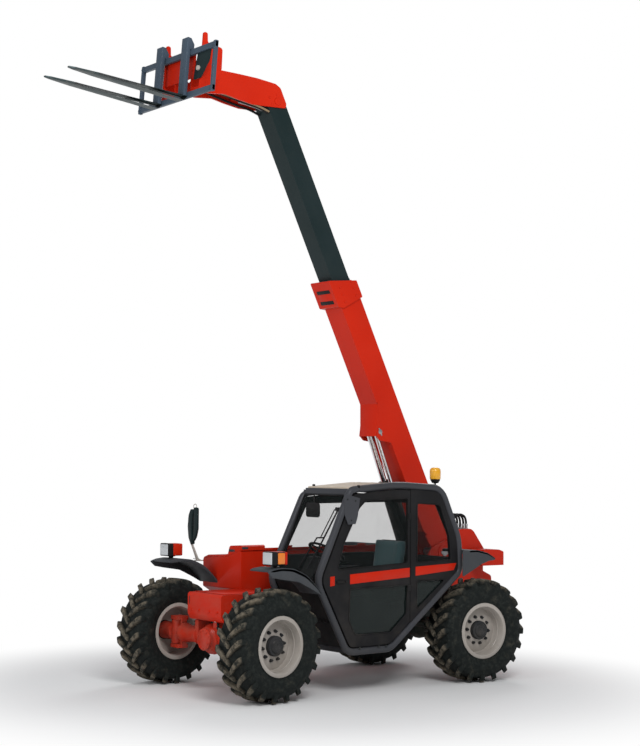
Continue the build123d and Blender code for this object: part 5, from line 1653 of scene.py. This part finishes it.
class Studio:
    """Pale floor, soft light and the camera."""

    fade: Flat = (2.4, 4.6)  # metres from the middle between which the floor turns white
    lamp_size: float = 5.0

    def __init__(self, bench: Bench, view: View) -> None:
        self.bench = bench
        self.view = view

    def camera(self) -> None:
        """Place the camera and make it the scene's."""
        view = self.view
        along = Vector((math.cos(view.yaw) * math.cos(view.pitch), math.sin(view.yaw) * math.cos(view.pitch),
                        math.sin(view.pitch)))
        right = along.cross(Vector((0, 0, 1))).normalized()
        up = right.cross(along)
        cos, sin = math.cos(view.roll), math.sin(view.roll)
        across, rise = right * cos + up * sin, up * cos - right * sin
        data = bpy.data.cameras.new("main_camera")
        data.sensor_width = view.sensor
        data.lens = view.lens
        data.shift_x, data.shift_y = view.shift
        data.clip_end = 200.0
        camera = bpy.data.objects.new("main_camera", data)
        bpy.context.scene.collection.objects.link(camera)
        camera.matrix_world = Matrix.Translation(Vector(view.place) + self.bench.shift) @ Matrix(
            (across, rise, -along)).transposed().to_4x4()
        bpy.context.scene.camera = camera

    def floor(self) -> None:
        """Lay a pale floor that fades into the white background."""
        bpy.ops.object.select_all(action="DESELECT")
        bpy.ops.mesh.primitive_plane_add(size=160.0, location=(0, 0, 0))
        floor = bpy.context.active_object
        floor.name = "floor"
        graph = Graph("floor")
        x, y = graph.axis("X"), graph.axis("Y")
        reach = graph.math("SQRT", x * x + y * y)
        fade = graph.ramp(reach, *self.fade, smooth=True)
        tone = graph.noise(0.6, 3.0).band(0.3, 0.7)
        paper = graph.surface(Base_Color=graph.mix(tone * 0.3, (0.86, 0.86, 0.86), (0.83, 0.83, 0.83)),
                              Roughness=0.9)
        white = graph.node("ShaderNodeEmission", None, {"Color": (1, 1, 1, 1), "Strength": 1.0})
        shown = graph.node("ShaderNodeMixShader", None, {0: fade, 1: paper, 2: white})
        floor.data.materials.append(graph.finish(shown))

    def world(self) -> None:
        """White to the camera, soft grey to everything else."""
        world = bpy.data.worlds.new("studio")
        world.use_nodes = True
        bpy.context.scene.world = world
        tree = world.node_tree
        tree.nodes.clear()
        path = tree.nodes.new("ShaderNodeLightPath")
        soft, white = tree.nodes.new("ShaderNodeBackground"), tree.nodes.new("ShaderNodeBackground")
        soft.inputs[0].default_value = (0.95, 0.97, 1.0, 1.0)
        soft.inputs[1].default_value = 0.40
        white.inputs[0].default_value = (1.0, 1.0, 1.0, 1.0)
        white.inputs[1].default_value = 1.0
        mix, out = tree.nodes.new("ShaderNodeMixShader"), tree.nodes.new("ShaderNodeOutputWorld")
        tree.links.new(path.outputs["Is Camera Ray"], mix.inputs[0])
        tree.links.new(soft.outputs[0], mix.inputs[1])
        tree.links.new(white.outputs[0], mix.inputs[2])
        tree.links.new(mix.outputs[0], out.inputs[0])

    def lights(self) -> None:
        """Large soft key, fill and rim lights."""
        rows = (("key", (4.0, 9.0, 9.0), 720.0), ("fill", (10.0, 2.0, 5.0), 200.0),
                ("back", (-8.0, -6.0, 9.0), 280.0))
        for name, place, power in rows:
            data = bpy.data.lights.new(name, "AREA")
            data.shape = "DISK"
            data.size = self.lamp_size
            data.energy = power
            lamp = bpy.data.objects.new(name, data)
            bpy.context.scene.collection.objects.link(lamp)
            lamp.location = place
            lamp.rotation_euler = (Vector((0, 0, 2.0)) - Vector(place)).to_track_quat("-Z", "Y").to_euler()

    def dress(self) -> None:
        """Set up the whole stage."""
        scene = bpy.context.scene
        scene.view_settings.view_transform = "Standard"
        self.camera()
        self.floor()
        self.world()
        self.lights()


# ---------------------------------------------------------------- assembly
class Telehandler:
    """The whole dressed machine."""

    def __init__(self, frame: dict) -> None:
        low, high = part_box("boom_pin")
        x, z = MACHINE.boom_point(*MACHINE.boom_pivot)
        middle = (low + high) / 2
        shift = Vector((middle.x - x / 1000, middle.y - MACHINE.boom_y / 1000, middle.z - z / 1000))
        self.bench = Bench(shift)
        self.shop = FinishShop()
        self.fitter = Fitter(self.bench, self.shop)
        self.nodes = frame["nodes"]

    def dress(self) -> None:
        """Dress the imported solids, then fit every finer piece."""
        skins = Skins(self.nodes, self.shop)
        for skin in SKINS:
            skins.dress(skin)
        hardware = Hardware(self.bench, self.fitter)
        for row in BOLT_ROWS:
            hardware.bolts(row)
        for group in (WheelSet, Lamps, Beacon, DoorMirror, CabTrim, Seat, Body, Fenders, BoomTrim, Forks):
            group(self.bench, self.fitter).dress()
            LOG.info("fitted %s, %d pieces so far", group.__name__, self.fitter.count)


def main() -> None:
    """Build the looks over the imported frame."""
    logging.basicConfig(level=logging.INFO, format="%(message)s")
    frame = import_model()
    machine = Telehandler(frame)
    machine.dress()
    Studio(machine.bench, View()).dress()


if __name__ == "__main__":
    main()
